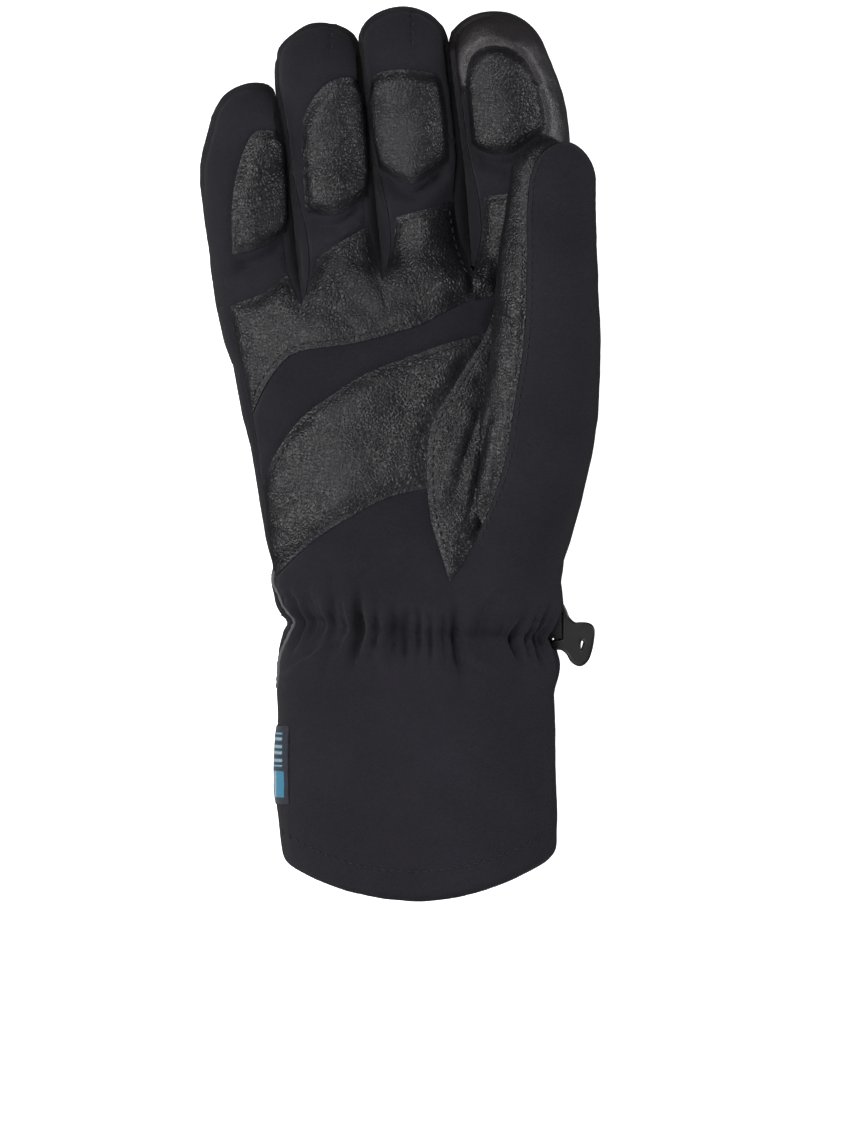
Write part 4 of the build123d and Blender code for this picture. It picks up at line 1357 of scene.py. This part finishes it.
def dress(piece, where, slot, *nodes):
    """What a piece rides on and the CAD nodes it stands for; the slot argument is not used."""
    ride_on(piece, where)
    if nodes:
        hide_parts(*nodes)


def place_of(name):
    for finger in FINGERS:
        if name.startswith(finger):
            return finger
    if name in ("thumb_strip_leather", "thumb_back_fabric"):
        return "thumb"
    if name.startswith("cuff") or name == "hem_fold":
        return "cuff"
    return "wrist" if name in ("wrist_gather_shell", "lining") else "hand"


MATERIAL_OF = {name: SOFTSHELL for name in PANELS}
for name in PANELS:
    if name.endswith("_pad") or name.endswith("_leather"):
        MATERIAL_OF[name] = LEATHER
MATERIAL_OF["index_tip_cap"] = "smooth_leather"
MATERIAL_OF["lining"] = "lining"
INNER_NODES = {
    "lower_palm_leather": ["palm_insulation"],
    "back_of_hand_shell": ["back_insulation", "membrane_insert"],
    "thumb_back_fabric": ["thumb_tip_insulation", "thumb_root_insulation"],
    "wrist_gather_shell": ["wrist_elastic"],
    "cuff_back_panel": ["cuff_insulation"],
}
for finger in FINGERS:
    INNER_NODES[f"{finger}_shell"] = [f"{finger}_tip_insulation", f"{finger}_root_insulation"]

for name, surface in PANELS.items():
    points, faces, seam, rims = thick(surface, THIN_SHEETS.get(name, SHEET_THICKNESS))
    piece = object_from(f"{name}_look", points, faces, MATERIAL_OF[name], seam, rims)
    dress(piece, place_of(name), MATERIAL_OF[name], name, *INNER_NODES.get(name, []))

for where, stitches in STITCHES.items():
    if not stitches:
        continue
    points, faces = stitch_mesh(stitches)
    piece = object_from(f"{where}_stitches", points, faces, "thread")
    dress(piece, where, SOFTSHELL)


# ---------------------------------------------------------------------------
# Label, piping, webbing and clip
# ---------------------------------------------------------------------------
LABEL_Y = (30.7, 56.2)
LABEL_Z = (24.0, 43.5)
LABEL_STEP = 0.5
LABEL_THICKNESS = 0.6


def grid_faces(rows, columns):
    """Triangles of a grid of points that runs row by row."""
    faces = []
    for i in range(rows):
        for j in range(columns):
            a = i * (columns + 1) + j
            faces.append((a, a + 1, a + columns + 2))
            faces.append((a, a + columns + 2, a + columns + 1))
    return np.array(faces)


def from_left(tree, y, z):
    """The surface point and normal met from the outer side at this height."""
    spot = None
    while spot is None:
        spot, normal, _, _ = tree.ray_cast(Vector((-120, y, z)), Vector((1, 0, 0)))
        z += 0.3  # a seam can let the ray through
    if normal.x > 0:
        normal = -normal
    return np.array(spot), np.array(normal)


cuff_tree = tree_of("cuff_palm_panel", "cuff_back_panel")
rows = int((LABEL_Y[1] - LABEL_Y[0]) / LABEL_STEP)
columns = int((LABEL_Z[1] - LABEL_Z[0]) / LABEL_STEP)
label_points, label_marks = [], []
for i in range(rows + 1):
    for j in range(columns + 1):
        along, across = i / rows, j / columns
        y = LABEL_Y[0] + along * (LABEL_Y[1] - LABEL_Y[0])
        spot, normal = from_left(cuff_tree, y, LABEL_Z[0] + across * (LABEL_Z[1] - LABEL_Z[0]))
        edge = min(along, 1 - along) * 8
        label_points.append(spot + normal * (0.35 + 0.35 * min(1.0, edge)))
        blue_block = 0.08 < along < 0.42 and 0.12 < across < 0.92
        pale_mark = 0.48 < along < 0.92 and 0.25 < across < 0.85 and math.sin(along * 70) > 0.0
        pale_mark = pale_mark or (blue_block and abs(across - 0.55) < 0.07)
        label_marks.append(2.0 if pale_mark else 1.0 if blue_block else 0.0)
label_surface = {"points": np.array(label_points), "faces": grid_faces(rows, columns)}
if (smooth_normals(label_surface)[:, 0]).mean() > 0:
    label_surface["faces"] = label_surface["faces"][:, ::-1]
points, faces, _, _ = thick(label_surface, LABEL_THICKNESS)
label = object_from("side_label_look", points, faces, "label")
marks = label.data.attributes.new("mark", "FLOAT", "POINT")
marks.data.foreach_set("value", np.array(label_marks * 2, dtype=np.float32))
dress(label, "cuff", "label", "side_label")


def tube(path, radius, sides=10):
    """A closed round tube along a path; radius may change along it."""
    path = np.asarray(path, dtype=float)
    radius = np.broadcast_to(np.asarray(radius, dtype=float), (len(path),))
    points, faces = [], []
    up = np.array([0.0, 0.0, 1.0])
    for i, point in enumerate(path):
        along = path[min(i + 1, len(path) - 1)] - path[max(i - 1, 0)]
        along /= np.linalg.norm(along)
        across = np.cross(along, up)
        across /= np.linalg.norm(across)
        normal = np.cross(across, along)
        for k in range(sides):
            turn = 2 * math.pi * k / sides
            points.append(point + radius[i] * (across * math.cos(turn) + normal * math.sin(turn)))
    for i in range(len(path) - 1):
        for k in range(sides):
            a, b = i * sides + k, i * sides + (k + 1) % sides
            faces.append((a, b, b + sides))
            faces.append((a, b + sides, a + sides))
    first, last = len(points), len(points) + 1
    points += [path[0], path[-1]]
    for k in range(sides):
        faces.append((first, (k + 1) % sides, k))
        faces.append((last, (len(path) - 1) * sides + k, (len(path) - 1) * sides + (k + 1) % sides))
    return np.array(points), np.array(faces)


piping_tree = tree_of("cuff_palm_panel", "wrist_gather_shell", "palm_heel_fabric", "back_of_hand_shell")
PIPING_Y = (68.4, 107.5)
PIPING_Z = 30.0
piping_path = []
for y in np.arange(*PIPING_Y, 1.0):
    spot, normal = from_left(piping_tree, y, PIPING_Z)
    piping_path.append(spot + normal * 0.1)
ridge = 0.75 + 0.16 * np.sin(np.arange(len(piping_path)) * 2.6)
points, faces = tube(piping_path, ridge)
piping = object_from("side_piping_look", points, faces, "piping")
dress(piping, "wrist", "piping", "side_piping")

CLIP_MIDDLE_Z = 26.0
CLIP_HALF = 1.7  # half its thickness
CLIP_BEVEL = 0.75
CLIP_OUTLINE = [(49.4, 96.4), (50.9, 95.9), (52.0, 94.0), (53.3, 91.0), (55.4, 89.2), (57.6, 89.2),
                (60.0, 88.9), (61.3, 87.4), (60.9, 82.6), (59.6, 78.2), (57.4, 76.2), (55.0, 77.2),
                (53.4, 79.8), (51.4, 81.4), (49.2, 81.6), (47.9, 82.2), (48.6, 83.4), (51.0, 83.6),
                (52.0, 84.6), (52.1, 88.8), (51.9, 93.0), (51.0, 94.3), (49.1, 94.7)]
CLIP_BAR_RADIUS = 1.0
CLIP_BAR_Y = (82.8, 95.2)
CLIP_HOLE = [(56.9, 83.6), (57.9, 84.6), (59.0, 83.6), (58.0, 80.4), (56.9, 80.2)]


def moulded(name, outlines, half, bevel):
    """A flat moulded piece with rounded edges, from an outline and its holes in plan."""
    curve = bpy.data.curves.new(name, "CURVE")
    curve.dimensions = "2D"
    curve.fill_mode = "BOTH"
    curve.extrude = (half - bevel) * MM
    curve.bevel_depth = bevel * MM
    curve.bevel_resolution = 3
    for line in outlines:
        smooth = curve_through(line, 5, closed=True)
        spline = curve.splines.new("POLY")
        spline.points.add(len(smooth) - 1)
        for point, (x, y) in zip(spline.points, smooth):
            world = to_metres([x, y, 0.0])
            point.co = (world[0], world[1], 0, 1)
        spline.use_cyclic_u = True
    raw = bpy.data.objects.new(f"{name}_curve", curve)
    scene.collection.objects.link(raw)
    depsgraph = bpy.context.evaluated_depsgraph_get()
    mesh = bpy.data.meshes.new_from_object(raw.evaluated_get(depsgraph))
    bpy.data.objects.remove(raw)
    for vertex in mesh.vertices:
        vertex.co.z += CLIP_MIDDLE_Z * MM
    mesh.name = name
    mesh.materials.clear()
    mesh.materials.append(MATERIALS["clip_plastic"])
    obj = bpy.data.objects.new(name, mesh)
    scene.collection.objects.link(obj)
    return obj


clip = moulded("clip_hook_look", [CLIP_OUTLINE, CLIP_HOLE], CLIP_HALF, CLIP_BEVEL)
clip_hinge = np.array(JOINTS["clip_swing"]["pos_m"]) / MM - SHIFT
bar_path = [(clip_hinge[0], y, clip_hinge[2]) for y in np.linspace(*CLIP_BAR_Y, 8)]
points, faces = tube(bar_path, CLIP_BAR_RADIUS, 16)
clip_bar = object_from("clip_bar_look", points, faces, "clip_plastic")
for piece in (clip, clip_bar):
    dress(piece, "clip", "clip_plastic", "clip_hook")

WEBBING_THICKNESS = 1.0
WEBBING_Y = (84.6, 93.2)
LOOP_X = clip_hinge[0]
LOOP_RADIUS = 2.15
TAIL_X = (43.0, 46.0)  # where the webbing's two tails run into the wrist
loop_profile = [(TAIL_X[0], LOOP_RADIUS), (TAIL_X[1], LOOP_RADIUS)]
loop_profile += [
    (LOOP_X + LOOP_RADIUS * math.cos(turn), LOOP_RADIUS * math.sin(turn))
    for turn in np.linspace(math.pi / 2, -math.pi / 2, 11)
]
loop_profile += [(TAIL_X[1], -LOOP_RADIUS), (TAIL_X[0], -LOOP_RADIUS)]
loop_path, loop_along = resampled(np.array(loop_profile), 0.5)
ACROSS = 14
strip_points = []
for (x, z), (dx, dz) in zip(loop_path, loop_along):
    for j in range(ACROSS + 1):
        share = j / ACROSS
        edge = 1 - abs(2 * share - 1)
        crown = 0.12 * math.sin(share * math.pi * 9) + 0.25 * min(1, edge * 6)
        y = WEBBING_Y[0] + share * (WEBBING_Y[1] - WEBBING_Y[0])
        strip_points.append((x - dz * -crown, y, CLIP_MIDDLE_Z + z + dx * crown))
webbing_surface = {"points": np.array(strip_points), "faces": grid_faces(len(loop_path) - 1, ACROSS)}
if smooth_normals(webbing_surface)[: ACROSS * 3, 2].mean() < 0:
    webbing_surface["faces"] = webbing_surface["faces"][:, ::-1]
points, faces, _, _ = thick(webbing_surface, WEBBING_THICKNESS)
webbing = object_from("clip_webbing_look", points, faces, "webbing")
dress(webbing, "hand", "webbing", "clip_webbing")


# ---------------------------------------------------------------------------
# Background, light and camera
# ---------------------------------------------------------------------------
CENTRE = place(5.4, 109.4, 26.0)
FLOOR_HALF = 6.0
FLOOR_Z = -0.0006
bpy.ops.mesh.primitive_plane_add(size=2 * FLOOR_HALF, location=(0, 0, FLOOR_Z))
floor = bpy.context.active_object
floor.name = "white_floor"
bpy.ops.mesh.primitive_uv_sphere_add(segments=48, ring_count=24, radius=FLOOR_HALF)
dome = bpy.context.active_object
dome.name = "white_dome"
paper = Shader("white_paper")
paper.set(Base_Color=(0.9, 0.9, 0.9, 1), Roughness=0.9, Emission_Color=(1, 1, 1, 1), Emission_Strength=1.0)
for backdrop in (floor, dome):
    backdrop.data.materials.append(paper.material)
    backdrop.visible_diffuse = False
    backdrop.visible_glossy = False

world = bpy.data.worlds.new("studio")
world.use_nodes = True
world.node_tree.nodes["Background"].inputs["Color"].default_value = (1.0, 1.0, 1.0, 1)
world.node_tree.nodes["Background"].inputs["Strength"].default_value = 0.07
scene.world = world


def softbox(name, location, size, power, colour=(1, 1, 1)):
    light = bpy.data.lights.new(name, "AREA")
    light.shape = "RECTANGLE"
    light.size, light.size_y = size
    light.energy = power
    light.color = colour
    obj = bpy.data.objects.new(name, light)
    obj.location = location
    obj.rotation_euler = (CENTRE - Vector(location)).to_track_quat("-Z", "Y").to_euler()
    scene.collection.objects.link(obj)


softbox("key_softbox", (-0.35, 0.75, 1.15), (0.6, 0.4), 8.0)
softbox("top_softbox", (-0.40, -0.45, 1.4), (0.5, 0.5), 9.5)
softbox("right_softbox", (1.10, 0.25, 0.40), (0.35, 0.9), 8.5, (0.96, 0.97, 1.0))
softbox("left_softbox", (-1.10, -0.05, 0.45), (0.35, 0.9), 8.0)
softbox("front_softbox", (0.15, -1.10, 0.45), (0.9, 0.35), 3.0)

CAMERA_DISTANCE = 3.0
PICTURE_HEIGHT = 0.3679
camera_data = bpy.data.cameras.new("camera")
camera_data.sensor_width = 36.0
camera_data.lens = camera_data.sensor_width * CAMERA_DISTANCE / PICTURE_HEIGHT
camera_data.clip_end = 30.0
camera = bpy.data.objects.new("camera", camera_data)
camera.location = CENTRE + Vector((0, 0, CAMERA_DISTANCE))
scene.collection.objects.link(camera)
scene.camera = camera
scene.view_settings.view_transform = "Standard"
scene.view_settings.look = "None"
